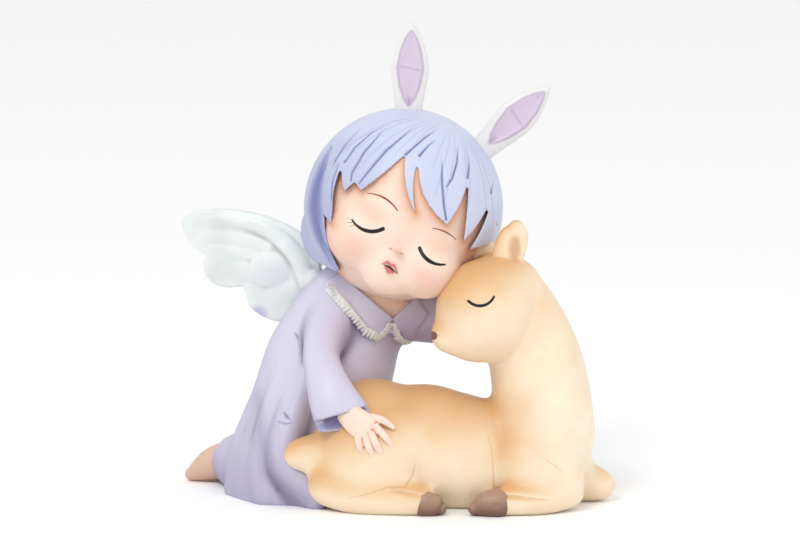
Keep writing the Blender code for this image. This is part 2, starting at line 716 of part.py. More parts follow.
def painted(obj, regions):
    """Gives each face the finish of the form that it lies nearest to."""
    names = []
    for finish, _ in regions:
        if finish not in names:
            names.append(finish)
            obj.data.materials.append(material(finish))
    trees = []
    for finish, mesh in regions:
        mesh.calc_loop_triangles()
        corners = [vert.co * SHARE for vert in mesh.vertices]
        faces = [tuple(triangle.vertices) for triangle in mesh.loop_triangles]
        trees.append((names.index(finish), BVHTree.FromPolygons(corners, faces)))
    for face in obj.data.polygons:
        face.material_index = min(trees, key=lambda tree: tree[1].find_nearest(face.center)[3])[0]


def cast():
    """The girl and the fawn in one, cut flat along the ground."""
    cloth = gown()
    regions = [
        ("fawn", fawn_body()),
        ("fawn", fawn_head()),
        ("fawn", fawn_ears()),
        ("hoof", hooves()),
        ("gown", cloth),
        ("lace", collar_lace(cloth)),
        ("skin", skin()),
        ("hair", hair()),
    ]
    obj = as_object("girl_and_fawn", clay_of(*[mesh for _, mesh in regions]))
    add_fuse(obj, CAST_CELL, 0.3)
    thinned(obj, CAST_TRIANGLES)
    obj = as_sized("girl_and_fawn", applied(obj))
    reach = 2 * HEIGHT
    ground = bmesh.new()
    under = Matrix.Translation((0, 0, -HEIGHT)) @ Matrix.Diagonal((reach, reach, reach, 1.0))
    bmesh.ops.create_cube(ground, size=1.0, matrix=under)
    add_cut(obj, as_object("ground", ground))
    obj = with_mesh("girl_and_fawn", applied(obj))
    painted(obj, regions)
    return obj


def as_sized(name, mesh):
    """A piece brought from shares to metres."""
    mesh.transform(Matrix.Scale(SHARE, 4))
    return with_mesh(name, mesh)


def with_mesh(name, mesh):
    largest_body(mesh)
    mesh.name = name
    obj = bpy.data.objects.new(name, mesh)
    bpy.context.scene.collection.objects.link(obj)
    return obj


def seat(cast_object):
    """The cast swollen by the glue's gap: it trims the root of every glued piece."""
    swollen = bpy.data.objects.new("seat", cast_object.data.copy())
    bpy.context.scene.collection.objects.link(swollen)
    swell = swollen.modifiers.new("Swell", "DISPLACE")
    swell.strength = GLUE_GAP
    swell.mid_level = 0.0
    mesh = applied(swollen)
    obj = bpy.data.objects.new("seat", mesh)
    bpy.context.scene.collection.objects.link(obj)
    return obj


def glued(name, mesh, cutter, triangles, finish):
    """A piece trimmed to its seat and finished."""
    obj = with_mesh(name, mesh)
    thinned(obj, triangles)
    add_cut(obj, cutter)
    obj = with_mesh(name, applied(obj))
    obj.data.materials.clear()
    obj.data.materials.append(material(finish))
    return obj


# Wings, in their own plane. The outline's points are (out from the root, up, bow), the feathers'
# stations (out, up, half width, share of the half thickness); both are drawn for a span of 43.
DRAWN_SPAN = 43.0
WING_OUTLINE = [
    (0.0, -6.0, 0.0),
    (13.3, -11.4, -0.09),
    (23.4, -6.3, 0.02),
    (25.0, -0.2, -0.11),
    (34.4, -0.1, -0.22),
    (36.7, 9.2, -0.15),
    (44.4, 17.1, -0.19),
    (42.2, 22.1, -0.035),
    (27.4, 23.4, -0.062),
    (5.5, 16.2, 0.0),
    (0.0, 8.0, 0.0),
]
WING_PLATE = 0.62
WING_FEATHERS = [
    [(14, 16.5, 3.8, 0.73), (28, 19.8, 3.7, 0.73), (37, 20.0, 3.2, 0.7), (41.5, 19.4, 2.4, 0.54)],
    [(16, 12.5, 3.8, 0.73), (28, 14.6, 3.8, 0.73), (37, 15.2, 3.2, 0.7), (41.5, 15.4, 2.2, 0.54)],
    [(18, 9.0, 3.4, 0.73), (28, 10.9, 3.2, 0.73), (34, 11.4, 2.6, 0.7), (38.0, 11.9, 1.8, 0.54)],
    [(16, 4.2, 5.4, 0.73), (26, 4.2, 5.2, 0.77), (33.0, 4.2, 3.9, 0.65)],
    [(8, -1.5, 7.4, 0.73), (15, -3.4, 6.6, 0.77), (19.4, -4.8, 4.2, 0.62)],
]
WING_EDGE = [
    (34, 21.0, 1.6, 0.85),
    (27, 20.6, 2.2, 1.0),
    (19, 18.4, 2.9, 1.12),
    (12.5, 14.6, 3.2, 1.15),
    (7, 8.5, 3.4, 1.08),
    (4.5, 1, 3.2, 0.92),
]
WING_PAD, WING_PAD_RADII = (16.6, 5.4), (8.4, 1.42, 8.0)
# How the wing's root reaches into the back: (out, back, up, half width)
WING_STUB = [(5, 0, 3, 4), (-2, 1.5, 1, 4), (-8, 3, 0, 3.5)]
WING_ROOTS = {
    "wing_right": ((-23.5, 12.0, 62.4), (-0.975, 0.222)),
    "wing_left": ((-1.5, 13.5, 60.5), (0.735, 0.678)),
}


def wing(root, outward):
    """A thin plate with the wing's outline, feathers laid on it, a round front edge and a pad."""
    out = Vector((*outward, 0.0)).normalized()
    face = out.cross(Vector((0, 0, 1)))
    if face.y > 0:
        face = -face
    frame = Matrix.Translation(Vector(root)) @ Matrix(
        ((out.x, face.x, 0, 0), (out.y, face.y, 0, 0), (0, 0, 1, 0), (0, 0, 0, 1))
    )
    reach = WING_SPAN / SHARE / DRAWN_SPAN
    half = WING_THICKNESS / SHARE / 2
    clay = bmesh.new()
    slab(clay, bowed(WING_OUTLINE) * reach, -WING_PLATE * half, WING_PLATE * half, frame)
    for feather in [*WING_FEATHERS, WING_EDGE]:
        laid = [(a * reach, 0.0, b * reach, w * reach, half * d) for a, b, w, d in feather]
        roll(clay, laid, frame=frame, facing=(0.0, 1.0, 0.0), sides=16)
    width, depth, height = WING_PAD_RADII
    middle = (WING_PAD[0] * reach, 0, WING_PAD[1] * reach)
    ball(clay, middle, (width * reach, depth * half, height * reach), frame=frame)
    roll(clay, [(*point, half) for point in WING_STUB], frame=frame)
    return fused("wing", clay, HAIR_CELL, 0.4)


# Rabbit ears: (share of the length, share of the half width)
EAR_OUTLINE = [
    (-0.12, 0.64),
    (0.05, 0.69),
    (0.18, 0.77),
    (0.34, 0.88),
    (0.5, 0.945),
    (0.64, 0.86),
    (0.75, 0.70),
    (0.87, 0.46),
    (0.94, 0.27),
    (0.985, 0.11),
]
EAR_HOLLOW_OUTLINE = [
    (0.09, 0.05),
    (0.17, 0.28),
    (0.3, 0.5),
    (0.5, 0.65),
    (0.7, 0.5),
    (0.83, 0.28),
    (0.91, 0.06),
]
# Bearing of the ear's foot from straight up and lean of its blade, in degrees, and how deep it sits
EAR_SETTINGS = {"rabbit_ear_right": (3.0, 2.0, 1.4), "rabbit_ear_left": (53.0, 47.0, 0.0)}


def rabbit_ear(bearing, lean, depth_in):
    """A leaf with a shallow hollow in front, standing on the hair."""
    turn = math.radians(bearing)
    foot = Vector(HEAD_CENTRE) + Vector((math.sin(turn), 0.0, math.cos(turn))) * (HAIR_RADIUS - depth_in)
    frame = Matrix.Translation(foot) @ Matrix.Rotation(math.radians(lean), 4, "Y")
    length, half, depth = EAR_LENGTH / SHARE, EAR_WIDTH / SHARE / 2, EAR_THICKNESS / SHARE / 2
    clay = bmesh.new()
    leaf = [(0.0, 0.0, t * length, w * half, depth * (0.55 + 0.45 * w)) for t, w in EAR_OUTLINE]
    roll(clay, leaf, frame=frame, sides=24, edge=1.15)
    hollow = bmesh.new()
    dip = EAR_HOLLOW / SHARE
    sections = [
        (0.0, -depth - 0.4, t * length, w * half, 0.4 + dip * (0.5 + 0.75 * w))
        for t, w in EAR_HOLLOW_OUTLINE
    ]
    roll(hollow, sections, frame=frame, sides=24)
    return fused("ear", clay_of(carved("leaf", clay, [hollow])), FINE_CELL / 2, 0.2)


def main():
    clear_scene()
    group = cast()
    cutter = seat(group)
    for name, (root, outward) in WING_ROOTS.items():
        mesh = wing(root, outward)
        mesh.transform(Matrix.Scale(SHARE, 4))
        glued(name, mesh, cutter, WING_TRIANGLES, "pearl_white")
    for name, setting in EAR_SETTINGS.items():
        mesh = rabbit_ear(*setting)
        mesh.transform(Matrix.Scale(SHARE, 4))
        glued(name, mesh, cutter, EAR_TRIANGLES, "ear_white")
    for obj in bpy.data.objects:
        if not obj.hide_render:
            obj.data.shade_smooth()


main()
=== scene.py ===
"""Looks of the angel figurine: cast resin, airbrushed and satin varnished.

The forms are those of the solids, fused on a finer grid and split by paint: hair, face, gown,
lace, hands and feet, fawn, hooves, wings and rabbit ears. Lengths in the tables are shares of the
height, about a millimetre each; only the finished meshes are in metres.
"""

import json
import math

import bmesh
import bpy
import numpy as np
from mathutils import Matrix, Vector
from mathutils.bvhtree import BVHTree

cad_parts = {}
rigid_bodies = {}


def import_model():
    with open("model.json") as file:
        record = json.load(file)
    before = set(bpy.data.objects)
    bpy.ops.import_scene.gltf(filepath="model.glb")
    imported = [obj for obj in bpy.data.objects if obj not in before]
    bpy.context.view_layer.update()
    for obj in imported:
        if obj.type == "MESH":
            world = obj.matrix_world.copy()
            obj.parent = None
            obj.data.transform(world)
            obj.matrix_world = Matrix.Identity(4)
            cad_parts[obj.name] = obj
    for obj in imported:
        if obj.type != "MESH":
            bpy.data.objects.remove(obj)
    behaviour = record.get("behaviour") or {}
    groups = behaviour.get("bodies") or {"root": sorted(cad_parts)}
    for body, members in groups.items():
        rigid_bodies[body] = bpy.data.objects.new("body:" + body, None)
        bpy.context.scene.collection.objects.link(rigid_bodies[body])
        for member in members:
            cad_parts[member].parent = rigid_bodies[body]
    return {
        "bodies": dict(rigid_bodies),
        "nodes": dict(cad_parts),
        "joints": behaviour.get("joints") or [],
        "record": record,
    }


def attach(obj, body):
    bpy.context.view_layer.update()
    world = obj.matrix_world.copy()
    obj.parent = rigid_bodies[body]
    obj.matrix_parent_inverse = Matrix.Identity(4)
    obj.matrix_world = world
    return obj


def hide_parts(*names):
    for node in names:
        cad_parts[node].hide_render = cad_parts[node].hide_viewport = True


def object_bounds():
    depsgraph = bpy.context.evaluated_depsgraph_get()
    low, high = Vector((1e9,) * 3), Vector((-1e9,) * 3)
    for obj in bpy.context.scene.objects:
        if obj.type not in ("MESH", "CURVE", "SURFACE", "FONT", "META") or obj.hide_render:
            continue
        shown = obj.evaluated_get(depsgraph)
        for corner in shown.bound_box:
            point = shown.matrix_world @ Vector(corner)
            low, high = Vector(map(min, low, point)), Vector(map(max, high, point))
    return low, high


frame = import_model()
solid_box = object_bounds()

HEIGHT = 0.146
SHARE = HEIGHT / 146
PHOTO_WIDTH = 800
SHARE_PER_PIXEL = 0.305

COARSER = 1.0
HAIR_CELL = 0.40 * COARSER
FACE_CELL = 0.32 * COARSER
GOWN_CELL = 0.55 * COARSER
FAWN_CELL = 0.55 * COARSER
HAND_CELL = 0.25 * COARSER
WING_CELL = 0.34 * COARSER
EAR_CELL = 0.22 * COARSER

# The most triangles that a piece keeps, by its name or for any other
MOST_TRIANGLES = {"hair": 185000, "face": 130000, "fawn": 115000, "gown": 115000}
MOST_ELSEWHERE = 70000

WORLD = Matrix.Identity(4)

# The viewer looks down by 8 degrees. PICTURE's local x and z are measured across the photo, and
# HEAD is the girl's head, leaning to the viewer's right.
VIEW_TILT = math.radians(8.0)
HEAD_LEAN = math.radians(25.5)
HEAD_CENTRE = (2.0, -2.0, 89.0)
HEAD = (
    Matrix.Translation(HEAD_CENTRE)
    @ Matrix.Rotation(-VIEW_TILT, 4, "X")
    @ Matrix.Rotation(HEAD_LEAN, 4, "Y")
)
PICTURE = Matrix.Translation((0, -42, 0)) @ Matrix.Rotation(-VIEW_TILT, 4, "X")
HAIR_RADIUS = 30.6


# Clay forms


def ball(clay, centre, radii, lean=0.0, frame=WORLD):
    """An ellipsoid. lean turns it clockwise, in degrees, as the viewer sees it."""
    place = frame @ Matrix.Translation(centre) @ Matrix.Rotation(math.radians(lean), 4, "Y")
    radii = (radii,) * 3 if isinstance(radii, (int, float)) else radii
    bmesh.ops.create_icosphere(
        clay, subdivisions=5, radius=1.0, matrix=place @ Matrix.Diagonal((*radii, 1.0))
    )


def eased(stations, steps):
    """Points on a smooth curve through the stations, sizes included."""
    knots = np.array(stations, float)
    knots = np.vstack([2 * knots[0] - knots[1], knots, 2 * knots[-1] - knots[-2]])
    points = []
    for a, b, c, d in zip(knots, knots[1:], knots[2:], knots[3:]):
        for t in np.linspace(0, 1, steps, endpoint=False):
            cubic = (2 * a - 5 * b + 4 * c - d) * t**2 + (3 * b - a - 3 * c + d) * t**3
            points.append(0.5 * (2 * b + (c - a) * t + cubic))
    return np.array(points + [knots[-2]])


def roll(clay, stations, frame=WORLD, facing=(0.0, -1.0, 0.0), sides=24, edge=1.0, steps=10):
    """A roll of clay through stations (x, y, z, half width, half thickness), with round ends.
    Its thickness lies along facing. An edge above 1 draws the section out to a thin rim on
    both sides."""
    path = eased(stations, steps)
    centres, widths, depths = path[:, :3], np.maximum(path[:, 3], 0.05), np.maximum(path[:, 4], 0.05)
    tangents = np.gradient(centres, axis=0)
    tangents /= np.linalg.norm(tangents, axis=1)[:, None]
    rings = [(centres[0], tangents[0], k, widths[0], depths[0]) for k in (-0.98, -0.85, -0.6, -0.3)]
    rings += [(c, t, 0.0, w, d) for c, t, w, d in zip(centres, tangents, widths, depths)]
    rings += [(centres[-1], tangents[-1], k, widths[-1], depths[-1]) for k in (0.3, 0.6, 0.85, 0.98)]
    angles = np.linspace(0, 2 * math.pi, sides, endpoint=False)
    loops = []
    for centre, tangent, beyond, width, depth in rings:
        out = np.array(facing, float)
        out = out - (out @ tangent) * tangent
        out /= np.linalg.norm(out)
        side = np.cross(tangent, out)
        shrink = math.sqrt(1 - beyond**2)
        middle = centre + tangent * beyond * min(width, depth)
        loop = []
        for a in angles:
            thin = math.sin(a) * abs(math.sin(a)) ** (edge - 1)
            point = middle + shrink * (side * width * math.cos(a) + out * depth * thin)
            loop.append(clay.verts.new(frame @ Vector(point)))
        loops.append(loop)
    for first, second in zip(loops, loops[1:]):
        for i in range(sides):
            j = (i + 1) % sides
            clay.faces.new((first[i], first[j], second[j], second[i]))
    clay.faces.new(loops[0][::-1])
    clay.faces.new(loops[-1])
    bmesh.ops.recalc_face_normals(clay, faces=clay.faces[-(sides * (len(loops) - 1) + 2) :])


def bowed(outline, steps=6):
    """A closed outline through points (across, up, bow). Each side bows out to the left of its
    run by its bow, a share of its length."""
    corners = np.array(outline, float)
    points = []
    for (x, z, bow), (x2, z2, _) in zip(corners, np.roll(corners, -1, axis=0)):
        for t in np.linspace(0, 1, steps, endpoint=False):
            push = 4 * bow * t * (1 - t)
            points.append((x + (x2 - x) * t - (z2 - z) * push, z + (z2 - z) * t + (x2 - x) * push))
    return np.array(points)


def straight(outline):
    """A closed outline through points (across, up), with straight sides."""
    return bowed([(*corner, 0.0) for corner in outline])


def slab(clay, outline, front, back, frame=WORLD):
    """An outline drawn across and up, made solid from front to back."""
    rings = [[clay.verts.new(frame @ Vector((x, y, z))) for x, z in outline] for y in (front, back)]
    faces = [clay.faces.new(rings[0]), clay.faces.new(rings[1][::-1])]
    for i in range(len(outline)):
        j = (i + 1) % len(outline)
        faces.append(clay.faces.new((rings[0][j], rings[0][i], rings[1][i], rings[1][j])))
    bmesh.ops.recalc_face_normals(clay, faces=faces)


# Carving: moving the vertices of a fused mesh

# A vertex faces the front unless its normal leans back by more than this
FRONT_LIMIT = 0.15


def coordinates(mesh, field="co"):
    """The places of a mesh's vertices, or another field of theirs, as an array of rows."""
    flat = np.empty(len(mesh.vertices) * 3)
    mesh.vertices.foreach_get(field, flat)
    return flat.reshape(-1, 3)


def placed_at(mesh, points):
    """Puts the mesh's vertices at these points."""
    mesh.vertices.foreach_set("co", points.ravel())
    mesh.update()


def in_frame(points, frame):
    """Points in a frame's own coordinates."""
    back = np.array(frame.inverted())
    return points @ back[:3, :3].T + back[:3, 3]


def to_lines(points, lines):
    """Distance of flat points to the nearest of some lines (across, up, worth), and the worth there."""
    best, worth = np.full(len(points), np.inf), np.zeros(len(points))
    for line in lines:
        for a, b in zip(line, line[1:]):
            run = np.subtract(b[:2], a[:2])
            t = np.clip((points - a[:2]) @ run / (run @ run), 0, 1)
            distance = np.linalg.norm(points - a[:2] - t[:, None] * run, axis=1)
            nearer = distance < best
            best = np.where(nearer, distance, best)
            worth = np.where(nearer, a[2] + (b[2] - a[2]) * t, worth)
    return best, worth


def within(points, outline):
    """Distance of flat points from a closed outline, positive inside it."""
    ring = [(*corner, 0.0) for corner in outline]
    distance, _ = to_lines(points, [ring + ring[:1]])
    inside = np.zeros(len(points), bool)
    for p, q in zip(outline, np.roll(outline, -1, axis=0)):
        spans = (p[1] > points[:, 1]) != (q[1] > points[:, 1])
        rise = q[1] - p[1] if q[1] != p[1] else 1e-9
        inside ^= spans & (points[:, 0] < p[0] + (points[:, 1] - p[1]) * (q[0] - p[0]) / rise)
    return np.where(inside, distance, -distance)


def seen_from(mesh, frame):
    """Vertices in a frame's own coordinates, and which of them face its front."""
    facing = coordinates(mesh, "normal") @ np.array(frame.inverted())[1, :3]
    return in_frame(coordinates(mesh), frame), facing < FRONT_LIMIT


def moved(mesh, outward):
    """Moves each vertex along its normal by its share in outward."""
    placed_at(mesh, coordinates(mesh) + coordinates(mesh, "normal") * outward[:, None])


def pressed(mesh, centre, depths):
    """Moves each vertex towards a centre by its share in depths."""
    points = coordinates(mesh)
    reach = points - np.array(centre)
    points -= reach / np.linalg.norm(reach, axis=1)[:, None] * depths[:, None]
    placed_at(mesh, points)


def grooved(mesh, frame, lines, width):
    """Draws grooves along lines (across, up, depth) into the side that faces the frame's front."""
    points, front = seen_from(mesh, frame)
    distance, depth = to_lines(points[:, [0, 2]], lines)
    moved(mesh, -depth * np.exp(-((distance / width) ** 2)) * (front & (points[:, 1] < 0)))


# Turning clay into finished meshes


def applied(obj):
    """The object's mesh with its modifiers applied; the object is removed."""
    graph = bpy.context.evaluated_depsgraph_get()
    mesh = bpy.data.meshes.new_from_object(obj.evaluated_get(graph))
    bpy.data.objects.remove(obj)
    return mesh


def as_object(name, clay):
    """A form as an object in the scene, for modifiers to work on."""
    mesh = bpy.data.meshes.new(name)
    clay.to_mesh(mesh)
    clay.free()
    obj = bpy.data.objects.new(name, mesh)
    bpy.context.scene.collection.objects.link(obj)
    return obj


def rounds_for(soft, cell):
    """How many rounds of evening out a grid of this cell spread a point over the distance soft."""
    return max(1, round((2 * soft / cell) ** 2))


def fused(name, clay, cell, soft):
    """Overlapping forms as one skin on a grid of this cell, softened over a distance."""
    obj = as_object(name, clay)
    fuse = obj.modifiers.new("Fuse", "REMESH")
    fuse.mode = "VOXEL"
    fuse.voxel_size = cell
    fuse.adaptivity = 0.0
    if soft:
        soften = obj.modifiers.new("Soften", "SMOOTH")
        soften.factor = 0.5
        soften.iterations = rounds_for(soft, cell)
    return applied(obj)


def clay_of(*meshes):
    """Meshes together as one form."""
    clay = bmesh.new()
    for mesh in meshes:
        clay.from_mesh(mesh)
    return clay


def carved(name, clay, cutters):
    """A form with other forms cut out of it, one after another."""
    obj = as_object(name, clay)
    tools = []
    for cutter in cutters:
        tool = as_object(name + " cutter", cutter)
        cut = obj.modifiers.new("Cut", "BOOLEAN")
        cut.operation = "DIFFERENCE"
        cut.object = tool
        tools.append(tool)
    mesh = applied(obj)
    for tool in tools:
        bpy.data.objects.remove(tool)
    return mesh


def evened(mesh, soft, weight):
    """The vertices evened out over the distance soft where weight is 1, and left where it is 0."""
    points = coordinates(mesh)
    edges = np.empty(len(mesh.edges) * 2, int)
    mesh.edges.foreach_get("vertices", edges)
    a, b = edges.reshape(-1, 2).T
    count = len(points)
    links = (np.bincount(a, minlength=count) + np.bincount(b, minlength=count))[:, None]
    spread = np.linalg.norm(points[a] - points[b], axis=1).mean()
    for _ in range(rounds_for(soft, spread)):
        total = np.empty_like(points)
        for k in range(3):
            column = points[:, k]
            total[:, k] = np.bincount(a, column[b], count) + np.bincount(b, column[a], count)
        points += 0.5 * weight[:, None] * (total / links - points)
    return points


def softened(mesh, soft, weight):
    """Evens out the mesh itself."""
    placed_at(mesh, evened(mesh, soft, weight))


# The surroundings of a hollow and its full depth, as shares of the reach
HOLLOW_SPREAD, HOLLOW_DEPTH = 0.6, 0.22


def hollows(mesh, reach):
    """How far each vertex lies below its surroundings, within this reach: 0 on open
    surfaces and up to 1 in a valley. Painted shade is laid there, as shade falls in hollows."""
    points = coordinates(mesh)
    sunk = evened(mesh, HOLLOW_SPREAD * reach, np.ones(len(points))) - points
    depth = (sunk * coordinates(mesh, "normal")).sum(axis=1)
    return np.clip(depth / (HOLLOW_DEPTH * reach), -1.0, 1.0)


def grounded(mesh):
    """Cuts the mesh flat at the ground, which is the solid's own underside."""
    clay = clay_of(mesh)
    everything = list(clay.verts) + list(clay.edges) + list(clay.faces)
    cut = bmesh.ops.bisect_plane(
        clay, geom=everything, plane_co=(0, 0, 0), plane_no=(0, 0, -1), clear_outer=True
    )
    rim = [e for e in cut["geom_cut"] if isinstance(e, bmesh.types.BMEdge)]
    if rim:
        bmesh.ops.holes_fill(clay, edges=rim, sides=0)
    clay.to_mesh(mesh)
    clay.free()


def thinned(mesh, most):
    """Keeps at most this many triangles, most of them where the form bends most."""
    mesh.calc_loop_triangles()
    count = len(mesh.loop_triangles)
    if count <= most:
        return mesh
    obj = bpy.data.objects.new("thinned", mesh)
    bpy.context.scene.collection.objects.link(obj)
    thin = obj.modifiers.new("Thin", "DECIMATE")
    thin.ratio = most / count
    return applied(obj)


def piece(name, mesh, paint, nodes, reach=1.2, marks=None):
    """A finished piece in metres, inside the solids' box, with its hollows stored."""
    grounded(mesh)
    values = hollows(mesh, reach)
    mesh.attributes.new("hollow", "FLOAT", "POINT").data.foreach_set("value", values)
    for mark, worth in (marks or {}).items():
        values = worth(coordinates(mesh))
        mesh.attributes.new(mark, "FLOAT", "POINT").data.foreach_set("value", values)
    mesh = thinned(mesh, MOST_TRIANGLES.get(name, MOST_ELSEWHERE))
    mesh.transform(Matrix.Scale(SHARE, 4))
    low, high = (np.array(corner) for corner in solid_box)
    inside = np.clip(coordinates(mesh), low, high)
    mesh.vertices.foreach_set("co", inside.ravel())
    mesh.materials.clear()
    mesh.materials.append(paint)
    mesh.shade_smooth()
    mesh.name = name
    obj = bpy.data.objects.new(name, mesh)
    bpy.context.scene.collection.objects.link(obj)
    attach(obj, "root")
    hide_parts(*nodes)


# Paint


def linear(code):
    """A colour written as sRGB hex, as the shaders want it."""
    parts = [int(code[i : i + 2], 16) / 255 for i in (1, 3, 5)]
    return (*[c / 12.92 if c <= 0.04045 else ((c + 0.055) / 1.055) ** 2.4 for c in parts], 1.0)


def node(tree, kind, inputs=None, **settings):
    """A node with its settings; each input is a value or another node's socket."""
    made = tree.nodes.new(kind)
    for key, value in settings.items():
        setattr(made, key, value)
    for socket, value in (inputs or {}).items():
        if isinstance(value, bpy.types.NodeSocket):
            tree.links.new(value, made.inputs[socket])
        else:
            made.inputs[socket].default_value = value
    return made


def maths(tree, operation, *values, clamp=False):
    """One step of arithmetic on numbers or sockets."""
    made = node(tree, "ShaderNodeMath", dict(enumerate(values)), operation=operation, use_clamp=clamp)
    return made.outputs[0]


def ramp(tree, value, low, high, to_low=0.0, to_high=1.0):
    """A value eased from one range to another."""
    settings = {"Value": value, 1: low, 2: high, 3: to_low, 4: to_high}
    return node(tree, "ShaderNodeMapRange", settings, interpolation_type="SMOOTHSTEP").outputs[0]


def mixed(tree, share, first, second):
    """Two colours, hex or sockets, mixed by share."""
    first, second = (linear(c) if isinstance(c, str) else c for c in (first, second))
    return node(tree, "ShaderNodeMix", {0: share, 6: first, 7: second}, data_type="RGBA").outputs[2]


def painted(tree, colour, mask, strength, code):
    """A colour with another one over it where the mask is 1, at this strength."""
    return mixed(tree, maths(tree, "MULTIPLY", mask, strength), colour, code)


def axis(tree, point, name):
    """One coordinate of a point."""
    return node(tree, "ShaderNodeSeparateXYZ", {0: point}).outputs[name]


def attribute(tree, name):
    """A value stored with the mesh's vertices."""
    return node(tree, "ShaderNodeAttribute", attribute_name=name).outputs["Fac"]


def local(tree, frame):
    """Coordinates in a frame, in shares."""
    where = node(tree, "ShaderNodeTexCoord").outputs["Object"]
    settings = {
        "Vector": where,
        "Location": frame.translation * SHARE,
        "Rotation": frame.to_euler(),
        "Scale": (SHARE,) * 3,
    }
    return node(tree, "ShaderNodeMapping", settings, vector_type="TEXTURE").outputs[0]


def stroke_group():
    """One straight brush stroke on the local x-z plane, from A to B, with a width at each end."""
    group = bpy.data.node_groups.new("Stroke", "ShaderNodeTree")
    vectors, numbers = ("Point", "A", "B"), ("Width A", "Width B", "Soft")
    for name in vectors + numbers:
        kind = "NodeSocketVector" if name in vectors else "NodeSocketFloat"
        group.interface.new_socket(name, in_out="INPUT", socket_type=kind)
    group.interface.new_socket("Mask", in_out="OUTPUT", socket_type="NodeSocketFloat")
    given = group.nodes.new("NodeGroupInput").outputs

    def vector(operation, *values, output="Vector"):
        made = node(group, "ShaderNodeVectorMath", dict(enumerate(values)), operation=operation)
        return made.outputs[output]

    flat = vector("MULTIPLY", given["Point"], (1, 0, 1))
    along = vector("SUBTRACT", given["B"], given["A"])
    reach = vector("SUBTRACT", flat, given["A"])
    length = vector("DOT_PRODUCT", along, along, output="Value")
    share = maths(group, "DIVIDE", vector("DOT_PRODUCT", reach, along, output="Value"), length, clamp=True)
    scaled = node(group, "ShaderNodeVectorMath", {0: along, "Scale": share}, operation="SCALE").outputs[0]
    distance = vector("LENGTH", vector("SUBTRACT", reach, scaled), output="Value")
    widening = maths(group, "SUBTRACT", given["Width B"], given["Width A"])
    width = maths(group, "MULTIPLY_ADD", widening, share, given["Width A"])
    edge = maths(group, "DIVIDE", maths(group, "SUBTRACT", width, distance), given["Soft"])
    mask = maths(group, "ADD", edge, 0.5, clamp=True)
    result = group.nodes.new("NodeGroupOutput")
    group.links.new(mask, result.inputs[0])
    return group


STROKE = stroke_group()


def strokes(tree, point, lines, soft=0.12):
    """The union of brush lines; a line is a list of (across, up, half width)."""
    total = 0.0
    for line in lines:
        for (x, z, w), (x2, z2, w2) in zip(line, line[1:]):
            settings = {
                "Point": point,
                "A": (x, 0, z),
                "B": (x2, 0, z2),
                "Width A": w,
                "Width B": w2,
                "Soft": soft,
            }
            stroke = node(tree, "ShaderNodeGroup", settings, node_tree=STROKE)
            total = maths(tree, "MAXIMUM", total, stroke.outputs[0])
    return total


def arc(centre, radius, start, end, widths, count=8):
    """A brush line along an arc between two angles, in degrees; widths at start, middle and end."""
    line = []
    for k in range(count + 1):
        t = k / count
        angle = math.radians(start + (end - start) * t)
        width = float(np.interp(t, (0, 0.5, 1), widths))
        line.append((centre[0] + radius * math.cos(angle), centre[1] + radius * math.sin(angle), width))
    return line


def spot(tree, point, centre, radii, soft=0.5):
    """A round dab of paint: 1 at its middle, fading to 0 at its rim."""
    place = node(
        tree,
        "ShaderNodeMapping",
        {"Vector": point, "Location": (centre[0], 0, centre[1]), "Scale": (radii[0], 1e6, radii[1])},
        vector_type="TEXTURE",
    ).outputs[0]
    distance = node(tree, "ShaderNodeVectorMath", {0: place}, operation="LENGTH").outputs["Value"]
    return ramp(tree, distance, 1.0, 1.0 - soft, 0.0, 1.0)


def grain(tree, size, strength):
    """Fine unevenness of varnished resin, as a bump; size is its grain in shares."""
    where = node(tree, "ShaderNodeTexCoord").outputs["Object"]
    noise = node(tree, "ShaderNodeTexNoise", {"Vector": where, "Scale": 1 / (size * SHARE), "Detail": 3.0})
    bump = node(
        tree,
        "ShaderNodeBump",
        {"Strength": strength, "Distance": 0.05 * SHARE, "Height": noise.outputs["Fac"]},
    )
    return bump.outputs[0], noise.outputs["Fac"]


def satin(name):
    """Airbrushed resin under satin varnish: a broad soft highlight and a little depth."""
    made = bpy.data.materials.new(name)
    made.use_nodes = True
    tree = made.node_tree
    shader = tree.nodes["Principled BSDF"]
    shader.inputs["Roughness"].default_value = 0.42
    shader.inputs["Specular IOR Level"].default_value = 0.42
    shader.inputs["Subsurface Weight"].default_value = 0.12
    shader.inputs["Subsurface Radius"].default_value = (1.0, 0.7, 0.5)
    shader.inputs["Subsurface Scale"].default_value = 1.5 * SHARE
    return made, tree, shader


def cloudy(tree, size, amount, middle):
    """Slow drift of an airbrushed coat about a middle value, kept within 0 and 1."""
    where = node(tree, "ShaderNodeTexCoord").outputs["Object"]
    noise = node(tree, "ShaderNodeTexNoise", {"Vector": where, "Scale": 1 / (size * SHARE), "Detail": 2.0})
    drift = maths(tree, "MULTIPLY", maths(tree, "SUBTRACT", noise.outputs["Fac"], 0.5), amount)
    return maths(tree, "ADD", drift, middle, clamp=True)


def shaded(tree, colour, shade, gain=1.0, low=0.05, high=0.7):
    """A colour with painted shade in its hollows, where shade falls."""
    amount = ramp(tree, attribute(tree, "hollow"), low, high, 0.0, gain)
    return mixed(tree, amount, colour, shade)


def facing_up(tree, direction, low, high):
    """How far the surface faces a direction."""
    normal = node(tree, "ShaderNodeNewGeometry").outputs["Normal"]
    product = node(tree, "ShaderNodeVectorMath", {0: normal, 1: direction}, operation="DOT_PRODUCT")
    return ramp(tree, product.outputs["Value"], low, high)


def finish(tree, shader, colour, size=0.35, strength=0.12):
    """Joins the colour to the shader, with the grain's bump and its uneven gloss."""
    bump, speck = grain(tree, size, strength)
    tree.links.new(colour, shader.inputs["Base Color"])
    tree.links.new(bump, shader.inputs["Normal"])
    tree.links.new(ramp(tree, speck, 0.3, 0.7, 0.37, 0.47), shader.inputs["Roughness"])


